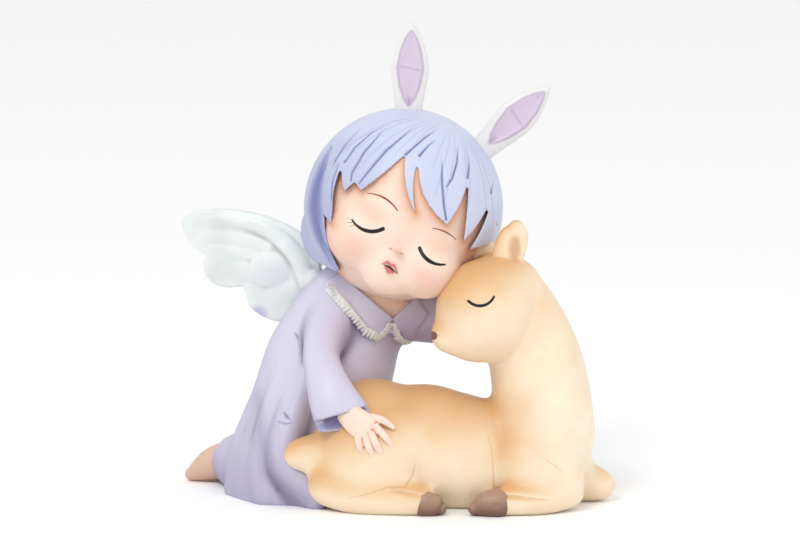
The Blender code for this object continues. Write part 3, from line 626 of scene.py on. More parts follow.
STRAND_ENDS = [(-27, 0), (-25, 6), (-21, 8), (-17, 6), (-13, 8), (-9, 13), (-5, 20)]
STRAND_ENDS += [(3, 14), (7, 7), (11, 4), (16, 9), (19, 5), (24, 8), (28, 5)]


def strand_shade_lines():
    """Fine lines of painted shade, as in grooves between strands, that fan out from the crown to the
    fringe and thin out at both ends.
    """
    lines = []
    for x, z in STRAND_ENDS:
        start, bend = (0.25 * x + 1, 28.0), (0.72 * x, 21.0 + 0.2 * z)
        line = []
        for t, width in ((0.12, 0.0), (0.35, 0.07), (0.6, 0.11), (0.8, 0.09), (1.0, 0.02)):
            first, middle, last = (1 - t) ** 2, 2 * t * (1 - t), t * t
            across = first * start[0] + middle * bend[0] + last * x
            up = first * start[1] + middle * bend[1] + last * z
            line.append((across, up, width))
        lines.append(line)
    return lines


def hair_paint():
    """Periwinkle, paler on the crown, with deep violet painted shade in the grooves between locks, in the
    deep layer behind them and along thin strand lines.
    """
    made, tree, shader = satin("periwinkle satin")
    point = local(tree, HEAD)
    up = axis(tree, point, "Z")
    right = axis(tree, point, "X")
    height = maths(tree, "ADD", up, maths(tree, "MULTIPLY", right, 0.5))
    colour = mixed(tree, ramp(tree, height, -26.0, 16.0), "#979abf", "#c0c5de")
    colour = mixed(tree, cloudy(tree, 14, 0.5, 0.25), colour, "#d6dbec")
    # Painted shade along thin lines, standing in for fine grooves between strands.
    colour = painted(tree, colour, strokes(tree, point, strand_shade_lines(), 0.5), 0.5, "#8f93bb")
    colour = shaded(tree, colour, "#6f72a0", 0.8, 0.12, 0.8)
    # Painted shade in the deep layer behind the locks.
    colour = painted(tree, colour, attribute(tree, "deep"), 0.85, "#7073a6")
    finish(tree, shader, colour)
    return made


EYE_RADIUS = 7.0
LEFT_EYE, RIGHT_EYE = (-8.3, -4.6), (15.0, -4.6)
# Flush on the cheeks and the nose's tip: place, radius and strength
FLUSH = [((-8.6, -17.6), 8.4, 0.34), ((15.5, -17.0), 7.6, 0.34), ((3.7, -13.0), 2.6, 0.35)]
LIDS = [
    arc(LEFT_EYE, EYE_RADIUS, -124, -37, (0.3, 0.58, 0.62), 10),
    arc(RIGHT_EYE, EYE_RADIUS, -138, -57, (0.58, 0.6, 0.3), 10),
]
LASHES = [
    [(-12.0, -10.3, 0.16), (-13.6, -10.5, 0.05)],
    [(-11.6, -10.9, 0.16), (-13.2, -11.6, 0.05)],
    [(-10.8, -11.3, 0.16), (-12.2, -12.5, 0.05)],
]
BROWS = [
    arc((-7.2, -11.6), 11.4, 113, 58, (0.12, 0.34, 0.2)),
    arc((14.7, -13.0), 11.5, 70, 110, (0.12, 0.27, 0.14)),
]
LIPS = [
    [(1.5, -18.5, 0.15), (2.9, -17.3, 0.5), (3.9, -17.6, 0.4), (5.1, -17.4, 0.5), (7.0, -19.0, 0.15)],
    [(2.8, -19.1, 0.2), (4.3, -19.7, 0.62), (5.7, -19.5, 0.25)],
]
MOUTH = [[(2.2, -18.5, 0.14), (4.0, -18.4, 0.42), (6.6, -19.1, 0.16)]]


def painted_face(tree, colour):
    """Flush on the skin, brown painted shade under the hair and painted shade above the lids, then the
    nostrils in painted shade, lips, brows, lashes and the closed lids.
    """
    point = local(tree, HEAD)
    # Brown painted shade along the hairline, under the locks.
    colour = painted(tree, colour, attribute(tree, "brown"), 0.85, "#cf8a55")
    for centre, radius, strength in FLUSH:
        dab = spot(tree, point, centre, (radius, radius * 0.86), 0.95)
        colour = painted(tree, colour, dab, strength, "#dd8f82")
    # Painted shade above the closed lids, where the mesh has no lid relief.
    for centre in ((-8.0, -6.0), (15.0, -6.4)):
        dab = spot(tree, point, centre, (8.0, 4.5), 0.95)
        colour = painted(tree, colour, dab, 0.3, "#d9a184")
    # The nostrils are painted shade; the nose has no dimples in the mesh.
    left = spot(tree, point, (1.9, -13.3), (0.95, 0.6), 0.9)
    right = spot(tree, point, (5.5, -13.2), (0.85, 0.6), 0.9)
    colour = painted(tree, colour, maths(tree, "MAXIMUM", left, right), 0.6, "#b8705c")
    colour = painted(tree, colour, strokes(tree, point, LIPS, 0.5), 0.9, "#c25560")
    colour = painted(tree, colour, strokes(tree, point, MOUTH, 0.25), 0.95, "#641f29")
    colour = painted(tree, colour, strokes(tree, point, BROWS, 0.16), 0.95, "#8a4526")
    colour = painted(tree, colour, strokes(tree, point, LASHES, 0.12), 0.8, "#6a4638")
    return mixed(tree, strokes(tree, point, LIDS, 0.16), colour, "#040303")


def skin_paint(name, with_face, light="#f3dccd", dark="#e9c6b3"):
    """Pale satin skin that drifts a little darker, with painted shade in its hollows; the face has its
    painted features.
    """
    made, tree, shader = satin(name)
    colour = mixed(tree, cloudy(tree, 9, 0.6, 0.3), light, dark)
    colour = shaded(tree, colour, "#c98562", 0.2 if with_face else 0.9, 0.2, 0.9)
    if with_face:
        colour = painted_face(tree, colour)
    finish(tree, shader, colour)
    return made


# The deep valley between the gown's front folds
VALLEY = [(-43.0, 36.3, 0.2), (-41.6, 24.0, 1.2), (-39.5, 13.1, 1.6), (-34.5, 8.6, 1.4), (-28.0, 5.2, 0.8)]
# The inner side of the right cuff, which shows below its front edge
CUFF_BAND = [(-23.4, 26.9, 1.0), (-18.5, 28.0, 1.7), (-13.0, 29.6, 2.0), (-9.6, 31.4, 1.0)]
# Small dents in the cloth, shown only by painted shade
PINCHES = [
    [(-34.6, 31.0, 0.15), (-33.6, 29.8, 0.5), (-32.6, 28.8, 0.1)],
    [(-36.2, 28.1, 0.08), (-34.0, 27.6, 0.2), (-32.4, 27.8, 0.06)],
    [(-31.5, 55.2, 0.08), (-30.9, 54.3, 0.3), (-30.4, 53.3, 0.1)],
]


def gown_paint():
    """Grey lilac cloth, lighter as painted light where it faces up to the front, darker towards the
    bottom, with cooler painted shade in the folds and warmer painted shade on the chest under the chin.
    """
    made, tree, shader = satin("grey lilac satin")
    point = local(tree, PICTURE)
    # Painted light: the cloth is lighter where it faces up and to the front.
    colour = mixed(tree, facing_up(tree, (0.1, -0.75, 0.65), -0.4, 0.8), "#a19bb6", "#cfcbde")
    height = axis(tree, point, "Z")
    colour = mixed(tree, ramp(tree, height, 48.0, 4.0, 0.0, 0.5), colour, "#918aa8")
    front = ramp(tree, axis(tree, point, "Y"), 46.0, 42.0)
    # Painted shade along the deep valley between the front folds.
    valley = maths(tree, "MULTIPLY", strokes(tree, point, [VALLEY], 4.5), front)
    colour = painted(tree, colour, valley, 0.5, "#7d7596")
    # Painted shadow on the chest and collar flaps under the chin.
    chest = spot(tree, point, (6.0, 54.0), (18.0, 16.0), 0.8)
    colour = painted(tree, colour, chest, 0.55, "#a08aa8")
    colour = shaded(tree, colour, "#706886", 0.9)
    # Painted shade where the cloth has small dents, which have no relief in the mesh.
    dents = maths(tree, "MULTIPLY", strokes(tree, point, PINCHES, 0.7), front)
    colour = painted(tree, colour, dents, 0.8, "#6a628a")
    band = maths(tree, "MULTIPLY", strokes(tree, point, [CUFF_BAND], 0.6), front)
    colour = painted(tree, colour, band, 0.8, "#9396c4")
    finish(tree, shader, colour)
    return made


def lace_paint():
    """Off-white with grey painted shade between the pleats, and a finer, stronger grain than the cloth's.
    """
    made, tree, shader = satin("off-white lace")
    thread = mixed(tree, cloudy(tree, 2, 1.0, 0.5), "#e0e2de", "#cfd2d2")
    colour = shaded(tree, thread, "#a3a6ab", 0.7)
    finish(tree, shader, colour, 0.25, 0.25)
    return made


def fawn_paint():
    """Tan sprayed from above over cream, with brown painted shade in the creases, the hollows and the near
    ear's hollow, and a closed eye.
    """
    made, tree, shader = satin("tan and cream satin")
    point = local(tree, PICTURE)
    colour = mixed(tree, facing_up(tree, (-0.42, -0.15, 0.9), 0.0, 0.95), "#f1dfc3", "#d9ab76")
    chest = spot(tree, point, (52.0, 30.0), (24.0, 34.0), 0.9)
    colour = painted(tree, colour, chest, 0.7, "#f8ebd8")
    colour = mixed(tree, cloudy(tree, 11, 0.5, 0.1), colour, "#d9a774")
    colour = shaded(tree, colour, "#b98450", 0.3, 0.15, 1.0)
    front = ramp(tree, axis(tree, point, "Y"), 26.0, 25.0)
    # Brown painted shade along the creases.
    lines = [[(x, z, 0.2 * deep - 0.05) for x, z, deep in crease] for crease in CREASES]
    creases = maths(tree, "MULTIPLY", strokes(tree, point, lines, 0.6), 0.6)
    colour = painted(tree, colour, creases, front, "#b0763f")
    # Painted shade in the near ear's hollow.
    inner_ear = maths(tree, "MULTIPLY", spot(tree, point, (35.6, 81.0), (2.6, 5.6), 0.6), front)
    colour = painted(tree, colour, inner_ear, 0.6, "#c98f55")
    eye = strokes(tree, point, [arc((24.9, 68.4), 4.7, -136, -24, (0.44, 0.48, 0.36), 8)], 0.16)
    colour = painted(tree, colour, eye, front, "#040303")
    nose = maths(tree, "MULTIPLY", spot(tree, point, (10.9, 54.6), (1.45, 1.45), 0.2), front)
    colour = mixed(tree, nose, colour, "#7a5640")
    finish(tree, shader, colour)
    return made


def hoof_paint():
    """Satin brown, paler on top as painted light, with dark painted shade in the hollows."""
    made, tree, shader = satin("hoof brown")
    # Painted light: paler where the hoof faces up and to the front.
    colour = mixed(tree, facing_up(tree, (0.0, -0.4, 0.9), -0.2, 1.0), "#7a5a4b", "#a98773")
    colour = shaded(tree, colour, "#4a3228", 0.8)
    finish(tree, shader, colour)
    return made


def wing_paint():
    """Pearl lacquer over white: a soft sheen, green grey painted shade in the hollows and lilac on the
    pad.
    """
    made, tree, shader = satin("pearl lacquer")
    point = local(tree, PICTURE)
    colour = mixed(tree, cloudy(tree, 10, 1.6, 0.5), "#e6ebe9", "#cfd5d3")
    colour = painted(tree, colour, spot(tree, point, (-39.7, 72.3), (9.0, 9.0), 0.9), 0.4, "#d3cddc")
    colour = painted(tree, colour, spot(tree, point, (-43.3, 61.0), (4.0, 3.4), 0.8), 0.7, "#a9a2cc")
    colour = shaded(tree, colour, "#a0a7a2", 0.8, 0.05, 0.7)
    finish(tree, shader, colour, 0.3, 0.2)
    shader.inputs["Sheen Weight"].default_value = 0.15
    shader.inputs["Coat Weight"].default_value = 0.25
    shader.inputs["Coat Roughness"].default_value = 0.25
    return made


def ear_paint():
    """Satin white with a pink lilac hollow, and darker painted shade along its creases and in its hollows.
    """
    made, tree, shader = satin("ear white")
    inner = mixed(tree, cloudy(tree, 6, 1.0, 0.5), "#d3c7d6", "#c9bacf")
    colour = mixed(tree, ramp(tree, attribute(tree, "inner"), 0.35, 0.65), "#dfdddd", inner)
    # Painted shade along the rim of the hollow and the fold.
    colour = painted(tree, colour, attribute(tree, "crease"), 0.6, "#a597ad")
    colour = shaded(tree, colour, "#9f8ba6", 0.8)
    finish(tree, shader, colour)
    return made


# Hair: a full cap, opened along the hairline and grooved between its locks

HAIRLINE = [
    (-6.3, 14.6, 0.02),
    (-13.8, -1.3, 0.0),
    (-16.6, 0.4, 0.0),
    (-18.2, -3.6, 0.08),
    (-22.3, 4.7, -0.07),
    (-17.2, -14.3, 0.0),
    (-21.8, -12.1, -0.075),
    (-9.2, -26.7, 0.0),
    (-6.5, -36.0, 0.0),
    (40.0, -36.0, 0.0),
    (40.0, 2.7, 0.0),
    (31.0, 2.7, 0.0),
    (24.9, -2.0, 0.0),
    (23.5, -3.6, -0.06),
    (22.6, 15.5, 0.065),
    (20.9, -1.6, -0.015),
    (14.0, 16.5, 0.06),
    (14.2, 0.7, 0.15),
    (-2.3, 16.1, -0.075),
    (4.3, -0.5, 0.085),
]
RECESS = [(-27.9, 7.0, -0.205), (-9.6, -26.5, 0.075), (-21.8, -12.1, 0.05)]
RECESS_DEPTH = 1.7
HEM = -26.6
LOCK_LINES = [
    [(-20.7, 21.4, 0.0), (-24.6, 9.4, 0.7), (-25.2, 3.9, 0.7), (-24.8, 1.4, 0.2)],
    [(-13.0, 23.0, 0.0), (-18.6, 16.5, 0.5), (-21.5, 10.0, 0.8), (-22.3, 4.7, 0.9)],
    [(-15.0, 20.5, 0.1), (-18.1, 10.3, 0.9), (-18.8, 2.5, 0.8), (-18.0, 0.2, 0.5)],
    [(-6.6, 25.6, 0.1), (-12.3, 13.1, 0.8), (-14.3, 5.1, 0.7), (-15.4, 0.2, 0.5)],
    [(-6.3, 14.6, 0.9), (-3.3, 21.8, 0.6), (-0.5, 26.5, 0.1)],
    [(-2.3, 16.1, 0.9), (-1.2, 20.0, 0.5), (1.0, 24.0, 0.05)],
    [(4.2, 18.4, 0.1), (7.3, 12.2, 0.9), (10.6, 6.4, 0.9), (13.6, 1.9, 0.9)],
    [(6.5, 25.0, 0.05), (9.0, 19.3, 0.7), (9.8, 14.2, 0.8), (9.2, 10.7, 0.5)],
    [(14.0, 16.5, 0.9), (12.7, 20.2, 0.5), (10.1, 24.1, 0.05)],
    [(22.6, 15.5, 0.8), (21.0, 20.9, 0.1)],
    [(28.5, 7.5, 0.6), (26.2, 13.2, 0.6), (22.7, 18.3, 0.1)],
    [(-23.7, 2.9, 0.4), (-23.0, -2.8, 0.6), (-21.3, -7.1, 0.6), (-18.6, -11.6, 0.3)],
]
LOCK_LINE_WIDTH = 0.48
BACK_LINES = 15


def hair_form():
    """A full cap, fuller low at the back and at the viewer's left."""
    clay = bmesh.new()
    ball(clay, (0, 0.4, 0), (30.6, 30.2, 30.6), frame=HEAD)
    ball(clay, (-9, 6, -14), (18, 17, 15.5), frame=HEAD)
    return clay


def hair_cutters():
    """The opening in front of the face, the slanting hem at the viewer's right and the lower edge."""
    opening = bmesh.new()
    slab(opening, bowed(HAIRLINE), -40, -1, HEAD)
    hem = bmesh.new()
    aim = Vector((0.45, -0.5, -0.74)).to_track_quat("Z", "X").to_matrix().to_4x4()
    place = HEAD @ Matrix.Translation((24, -18, -2)) @ aim @ Matrix.Translation((0, 0, 40))
    bmesh.ops.create_cube(hem, size=80.0, matrix=place)
    below = bmesh.new()
    bmesh.ops.create_cube(below, size=80.0, matrix=HEAD @ Matrix.Translation((0, 0, HEM - 40)))
    return [opening, hem, below]


def hair():
    """The cap, cut open and softened, with its sunk layer and the grooves between its locks."""
    whole = fused("hair", hair_form(), HAIR_CELL * 1.3, 0.6)
    cut = carved("hair", clay_of(whole), hair_cutters())
    mesh = fused("hair", clay_of(cut), HAIR_CELL, 0.25)
    points, _ = seen_from(mesh, HEAD)
    sunk = np.clip(within(points[:, [0, 2]], bowed(RECESS, 12)) / 0.7 + 0.5, 0, 1)
    distance, depth = to_lines(points[:, [0, 2]], LOCK_LINES)
    grooves = depth * np.exp(-((distance / LOCK_LINE_WIDTH) ** 2))
    in_front = points[:, 1] < 0
    pressed(mesh, HEAD_CENTRE, (RECESS_DEPTH * sunk + grooves) * in_front + behind_lines(points))
    return mesh


def behind_lines(points):
    """Depths of grooves that run from the crown down the back of the head, bending a little."""
    turn = np.arctan2(points[:, 1], points[:, 0])
    sway = 0.16 * np.sin(points[:, 2] / 9.0) + 0.06 * np.cos(points[:, 2] / 4.0)
    place = (turn + sway) / math.pi * BACK_LINES
    off = np.abs(place - np.round(place)) * math.pi / BACK_LINES * np.hypot(points[:, 0], points[:, 1])
    fade = np.clip((points[:, 1] - 1) / 7, 0, 1) * np.clip((25 - points[:, 2]) / 12, 0, 1)
    return 0.8 * np.exp(-((off / 0.9) ** 2)) * fade


def recessed(points):
    """Marks the deep layer of the hair, behind the locks at the viewer's left, where painted shade goes.
    """
    placed = in_frame(points, HEAD)
    inside = np.clip(within(placed[:, [0, 2]], bowed(RECESS, 12)) / 1.6 + 0.4, 0, 1)
    return inside * (placed[:, 1] < 0)


def under_hair(points):
    """Marks the skin close to the hairline, where brown painted shade goes under the locks."""
    placed = in_frame(points, HEAD)
    return np.exp(-np.maximum(within(placed[:, [0, 2]], bowed(HAIRLINE)), 0) / 1.9)


# Face, neck, hands and feet

UPPER_LIP = [
    (2.0, -27.2, -18.3, 0.4, 0.4),
    (3.0, -27.5, -17.4, 0.7, 0.6),
    (3.9, -27.5, -17.6, 0.6, 0.55),
    (5.0, -27.4, -17.5, 0.7, 0.6),
    (6.5, -26.8, -18.8, 0.4, 0.4),
]
LOWER_LIP = [(2.9, -26.8, -19.3, 0.4, 0.4), (4.3, -26.9, -19.8, 0.8, 0.7), (5.7, -26.6, -19.6, 0.4, 0.4)]


def face():
    """A round skull with full cheeks and chin, then the nose's tip and the lips on it."""
    clay = bmesh.new()
    ball(clay, (0, 0.3, 0), (27.5, 28.0, 27.6), frame=HEAD)
    ball(clay, (0, -0.6, 3), (25.5, 27.9, 25.4), frame=HEAD)
    ball(clay, (0, 1.0, 0), (28.6, 28.4, 28.6), frame=HEAD)
    for x in (-8.0, 13.5):
        ball(clay, (x, -16.0, -13.0), 10.8, frame=HEAD)
    ball(clay, (4.0, -17.2, -18.0), 9.4, frame=HEAD)
    mask = fused("face", clay, FACE_CELL * 1.6, 3.2)
    clay = clay_of(mask)
    ball(clay, (3.7, -28.2, -12.3), (1.5, 1.5, 1.3), frame=HEAD)
    for lip in (UPPER_LIP, LOWER_LIP):
        roll(clay, lip, frame=HEAD)
    return fused("face", clay, FACE_CELL, 0.35)


NECKLINE = [(-16.8, 72.6), (-1.2, 59.6), (5.4, 65.8), (10.0, 82.0), (-14.0, 84.0)]
FLAPS = [
    [(-17.8, 73.6), (-1.2, 59.8), (-3.2, 56.6), (-7.0, 53.4), (-12.2, 57.8), (-22.4, 70.2)],
    [(-1.2, 59.8), (5.6, 66.2), (9.6, 61.0), (4.2, 53.6), (0.6, 53.4), (-0.6, 57.0)],
]
FLAP_THICKNESS = 0.9
SKIN_DEPTH = 1.3
# Above the cuff the sleeves are blended into the bodice over this distance
CUFF_TOP, SLEEVE_BLEND = 34.0, 2.0


def shrunk(stations, by):
    """The stations of a roll that lies this deep inside another."""
    return [(x, y, z, width - by, depth - by) for x, y, z, width, depth in stations]


def neck():
    """The skin inside the collar: the bodice's own forms, a little smaller, and the neck."""
    clay = bmesh.new()
    roll(clay, shrunk(BODICE, SKIN_DEPTH), sides=48)
    roll(clay, shrunk(RIGHT_ARM[:2], SKIN_DEPTH), facing=RIGHT_FACING)
    ball(clay, CHEST[0], [radius - SKIN_DEPTH for radius in CHEST[1]])
    roll(clay, [(-6, 6, 56, 8, 7), (-3, 4, 63, 9.5, 8), (1, 2, 71, 10, 9)])
    return fused("neck", clay, FACE_CELL * 1.3, 0.9)


def right_hand():
    """A palm with four fingers and a thumb, resting on the fawn's back."""
    clay = bmesh.new()
    palm = [(-15.2, -34.2, 30.6, 3.6, 2.4), (-12.6, -36.4, 28.6, 4.2, 2.3), (-9.4, -38.2, 26.4, 4.6, 2.0)]
    roll(clay, palm)
    fingers = [
        [(-11.8, -38.4, 25.2), (-11.4, -39.3, 21.8), (-10.6, -38.8, 19.4)],
        [(-9.6, -39.0, 24.6), (-8.4, -39.9, 20.8), (-6.9, -39.2, 17.9)],
        [(-7.8, -39.0, 25.0), (-6.0, -40.0, 21.4), (-4.4, -39.2, 18.2)],
        [(-6.4, -38.6, 27.0), (-3.6, -39.7, 24.2), (-1.5, -38.9, 21.2)],
        [(-7.4, -37.6, 29.8), (-4.0, -38.3, 28.8), (-1.2, -37.9, 26.7)],
    ]
    for finger in fingers:
        roll(clay, [(*point, size, size) for point, size in zip(finger, (1.2, 1.12, 0.8))])
    return fused("right hand", clay, HAND_CELL, 0.2)


def left_hand():
    """The hand behind the fawn's neck, with four fingers."""
    clay = bmesh.new()
    palm = [(34, 2, 52.4, 4, 3.4), (40, -1.4, 52.8, 4.6, 2.9), (43.4, -4, 53, 4.2, 2.4)]
    roll(clay, palm, facing=(0.5, 1, 0))
    for drop in (0, 1, 2, 3):
        knuckle, tip = (43.6, -4, 56.2 - 2.3 * drop), (47.6, -7.6, 57 - 2.8 * drop)
        roll(clay, [(*knuckle, 1.3, 1.3), (*tip, 1.05, 1.05)])
    return fused("left hand", clay, HAND_CELL, 0.2)


def feet():
    """Both feet, which come out from under the skirt."""
    clay = bmesh.new()
    near = [(-48, 15, 8, 6.5, 7), (-56.5, 16.5, 6.2, 5.4, 5.8)]
    near += [(-61.6, 17.6, 3.7, 3.8, 3.7), (-64.4, 18, 2.2, 2.2, 2.2)]
    far = [(-46, 22, 6, 6, 6), (-54, 25, 4.4, 4.6, 4.2), (-60.5, 27, 2.4, 2.3, 2.3)]
    for foot in (near, far):
        roll(clay, foot)
    return fused("feet", clay, HAND_CELL * 1.4, 0.4)


# Gown

RIGHT_ARM = [
    (-16, 3, 62, 7.5, 7.5),
    (-21, -6, 53, 6.9, 7.0),
    (-23.2, -18, 45, 6.0, 6.0),
    (-20.6, -28.5, 37.4, 7.2, 5.2),
    (-16.4, -34.2, 28.6, 8.8, 4.2),
]
LEFT_ARM = [
    (-1, 4, 56, 9, 9),
    (14, 4.5, 53.6, 8.3, 8.3),
    (27, 5, 52.4, 8.2, 7.6),
    (36, 4, 52.2, 9.4, 7.6),
]
RIGHT_FACING, LEFT_FACING = (-0.1, -0.85, 0.5), (0.0, -1.0, 0.0)
CUFF_WALL = 1.4
CUFF_FRONT = [(-32.0, 26.4), (-24.4, 28.7), (-8.2, 33.6), (-2.0, 35.5), (-2.0, 8.0), (-32.0, 8.0)]
CUFF_BACK = [(-34.0, 24.7), (-24.7, 25.0), (-15.3, 25.9), (-1.0, 28.6), (-1.0, 6.0), (-34.0, 6.0)]


def sleeve(name, arm, facing, beyond, cuts):
    """A bell sleeve run past its mouth, bored to leave the cuff's wall and cut off by slabs
    (outline, front, back) across the picture."""
    end, inner = Vector(arm[-1][:3]), Vector(arm[-2][:3])
    along = (end - inner).normalized()
    width, depth = arm[-1][3:]
    clay = bmesh.new()
    roll(clay, [*arm, (*(end + along * beyond), width, depth)] if beyond else arm, facing=facing)
    bore = [
        (*(end + along * start), (width - CUFF_WALL) * share, (depth - CUFF_WALL) * share)
        for start, share in ((beyond - 5.0, 0.84), (beyond, 1.0), (beyond + 14.0, 1.1))
    ]
    mouth = bmesh.new()
    roll(mouth, bore, facing=facing)
    cutters = [mouth]
    for outline, front, back in cuts:
        cutters.append(bmesh.new())
        slab(cutters[-1], np.array(outline), front, back, PICTURE)
    return fused(name, clay_of(carved(name, clay, cutters)), GOWN_CELL, 0.3)


SKIRT = [
    (-29, 2, -3, 24, 26.5),
    (-28.5, 2.5, 6, 24, 26),
    (-27, 3.5, 15, 21.5, 23.5),
    (-25, 4.5, 28, 20, 20),
    (-20.5, 5.5, 40, 20.5, 16.5),
]
BODICE = [(-16, 6, 50, 18.6, 13.5), (-10.5, 5, 58, 17, 11.5), (-6, 4.5, 63, 15, 10.5), (-4, 3.5, 68, 9, 8)]
CHEST = (1, 4, 56), (11, 9, 8.5)


def skirt():
    """The skirt and bodice in one, with the cloth over the ankles, the chest and six folds."""
    clay = bmesh.new()
    roll(clay, SKIRT + BODICE, sides=48)
    ball(clay, (-48.5, 11, 7.5), (9.4, 12.5, 9))
    ball(clay, *CHEST)
    folds = [
        [(-32, -6, 44, 3.6, 3.6), (-37.5, -11, 28, 4.4, 4.4), (-40.5, -15, 12, 5, 5), (-39, -19, 2, 6, 5)],
        [(-26, -9, 40, 4, 4), (-32, -17, 26, 4.5, 4.5), (-34, -22, 13, 5, 5), (-24, -27, 2.5, 5, 4)],
        [(-36, 6, 40, 4, 4), (-42.5, 5, 26, 4.5, 4.5), (-47.5, 1, 12, 5, 5), (-49, -4, 1, 5, 4)],
        [(-33, 21, 36, 4.5, 4.5), (-41, 24, 20, 5, 5), (-46, 27, 3, 5.5, 5)],
        [(-20, 20, 42, 4.5, 4.5), (-24, 26, 22, 5.5, 5.5), (-26, 29, 3, 6, 5)],
        [(-9, 16, 40, 4.5, 4.5), (-8, 22, 20, 5, 5), (-8, 24, 3, 6, 5)],
    ]
    for fold in folds:
        roll(clay, fold)
    return fused("skirt", clay, GOWN_CELL * 1.6, 2.8)


def gown():
    """The gown with its raised collar flaps and its open neck."""
    cuffs = [(CUFF_BACK, -8.0, 20.0), (CUFF_FRONT, -6.0, 4.2)]
    parts = [
        skirt(),
        sleeve("right sleeve", RIGHT_ARM, RIGHT_FACING, 4.0, cuffs),
        sleeve("left sleeve", LEFT_ARM, LEFT_FACING, 0.0, []),
    ]
    whole = fused("gown", clay_of(*parts), GOWN_CELL, 0.3)
    points, front = seen_from(whole, PICTURE)
    softened(whole, SLEEVE_BLEND, np.clip((points[:, 2] - CUFF_TOP) / 8, 0, 1))
    grooved(whole, PICTURE, [VALLEY], 2.4)
    points, front = seen_from(whole, PICTURE)
    raised = np.zeros(len(points))
    for flap in FLAPS:
        raised = np.maximum(raised, np.clip(within(points[:, [0, 2]], straight(flap)) / 0.6 + 0.5, 0, 1))
    moved(whole, FLAP_THICKNESS * raised * (front & (points[:, 1] < 52)))
    opening = bmesh.new()
    slab(opening, straight(NECKLINE), 0, 46, PICTURE)
    return carved("gown", clay_of(whole), [opening])


LACE_PATHS = [
    [(-20.8, 69.1), (-14.3, 61.5), (-9.8, 56.1), (-5.9, 53.8), (-3.5, 55.8), (-2.4, 58.0)],
    [(-1.4, 58.0), (-0.2, 55.6), (0.9, 53.3), (3.4, 52.4)],
]
LACE_WIDTH = 1.5
PLEAT_SPACING = 1.15
PLEAT_RADII = (1.7, 0.9, 0.42)


def pleat_nodes():
    """Geometry nodes that set thin ridges square across a line, at an even spacing."""
    tree = bpy.data.node_groups.new("Pleats", "GeometryNodeTree")
    tree.interface.new_socket("Line", in_out="INPUT", socket_type="NodeSocketGeometry")
    for name, kind in (
        ("Spacing", "NodeSocketFloat"),
        ("Radii", "NodeSocketVector"),
        ("Facing", "NodeSocketVector"),
        ("Seed", "NodeSocketInt"),
        ("Finish", "NodeSocketMaterial"),
    ):
        tree.interface.new_socket(name, in_out="INPUT", socket_type=kind)
    tree.interface.new_socket("Ridges", in_out="OUTPUT", socket_type="NodeSocketGeometry")
    given = tree.nodes.new("NodeGroupInput").outputs
    line = node(tree, "GeometryNodeMeshToCurve", {"Mesh": given["Line"]}).outputs[0]
    settings = {"Curve": line, "Length": given["Spacing"]}
    even = node(tree, "GeometryNodeResampleCurve", settings, mode="LENGTH")
    tangent = node(tree, "GeometryNodeInputTangent").outputs[0]
    along = node(tree, "FunctionNodeAlignRotationToVector", {"Vector": tangent}, axis="Z").outputs[0]
    settings = {"Rotation": along, "Vector": given["Facing"]}
    turned = node(tree, "FunctionNodeAlignRotationToVector", settings, axis="Y", pivot_axis="Z").outputs[0]
    vary = node(tree, "FunctionNodeRandomValue", {"Seed": given["Seed"]}, data_type="FLOAT")
    vary.inputs[2].default_value = 0.8
    vary.inputs[3].default_value = 1.15
    sized = node(
        tree,
        "ShaderNodeVectorMath",
        {0: given["Radii"], "Scale": vary.outputs[1]},
        operation="SCALE",
    ).outputs[0]
    bead = node(tree, "GeometryNodeMeshIcoSphere", {"Radius": 1.0, "Subdivisions": 3}).outputs[0]
    settings = {"Points": even.outputs[0], "Instance": bead, "Rotation": turned, "Scale": sized}
    placed = node(tree, "GeometryNodeInstanceOnPoints", settings).outputs[0]
    real = node(tree, "GeometryNodeRealizeInstances", {0: placed}).outputs[0]
    done = node(tree, "GeometryNodeSetMaterial", {"Geometry": real, "Material": given["Finish"]})
    tree.links.new(done.outputs[0], tree.nodes.new("NodeGroupOutput").inputs[0])
    return tree


def pleats(tree, points, facing, finish_paint, seed):
    """Ridges across the line through these points, as a plain mesh."""
    line = bpy.data.meshes.new("pleat line")
    line.from_pydata([tuple(p) for p in points], [(i, i + 1) for i in range(len(points) - 1)], [])
    obj = bpy.data.objects.new("pleats", line)
    bpy.context.scene.collection.objects.link(obj)
    modifier = obj.modifiers.new("Pleats", "NODES")
    modifier.node_group = tree
    settings = {
        "Spacing": PLEAT_SPACING,
        "Radii": PLEAT_RADII,
        "Facing": facing,
        "Seed": seed,
        "Finish": finish_paint,
    }
    for socket in tree.interface.items_tree:
        if socket.name in settings:
            modifier[socket.identifier] = settings[socket.name]
    return applied(obj)


def on_front(tree, across, up):
    """The point of a surface that lies at this place across the picture."""
    start = PICTURE @ Vector((across, -60, up))
    point, normal, _, _ = tree.ray_cast(start, PICTURE.to_3x3() @ Vector((0, 1, 0)))
    return point, normal


def collar(cloth, paint):
    """A narrow band of pleated lace along the edge of the collar, lying on the cloth."""
    corners = [tuple(face.vertices) for face in cloth.polygons]
    tree = BVHTree.FromPolygons(coordinates(cloth).tolist(), corners)
    clay = bmesh.new()
    ridges = pleat_nodes()
    for path in LACE_PATHS:
        middle = []
        for (x, z), (x2, z2) in zip(path, path[1:]):
            laid = []
            for t in (0, 0.25, 0.5, 0.75, 1):
                point, normal = on_front(tree, x + (x2 - x) * t, z + (z2 - z) * t)
                laid.append((*(point + normal * 0.3), LACE_WIDTH, 0.6))
                if t < 1:
                    middle.append(point + normal * 0.35)
            roll(clay, laid, facing=tuple(normal), steps=4)
        clay.from_mesh(pleats(ridges, middle, tuple(normal), paint, len(path)))
    return fused("collar", clay, HAND_CELL, 0.15)


# Fawn

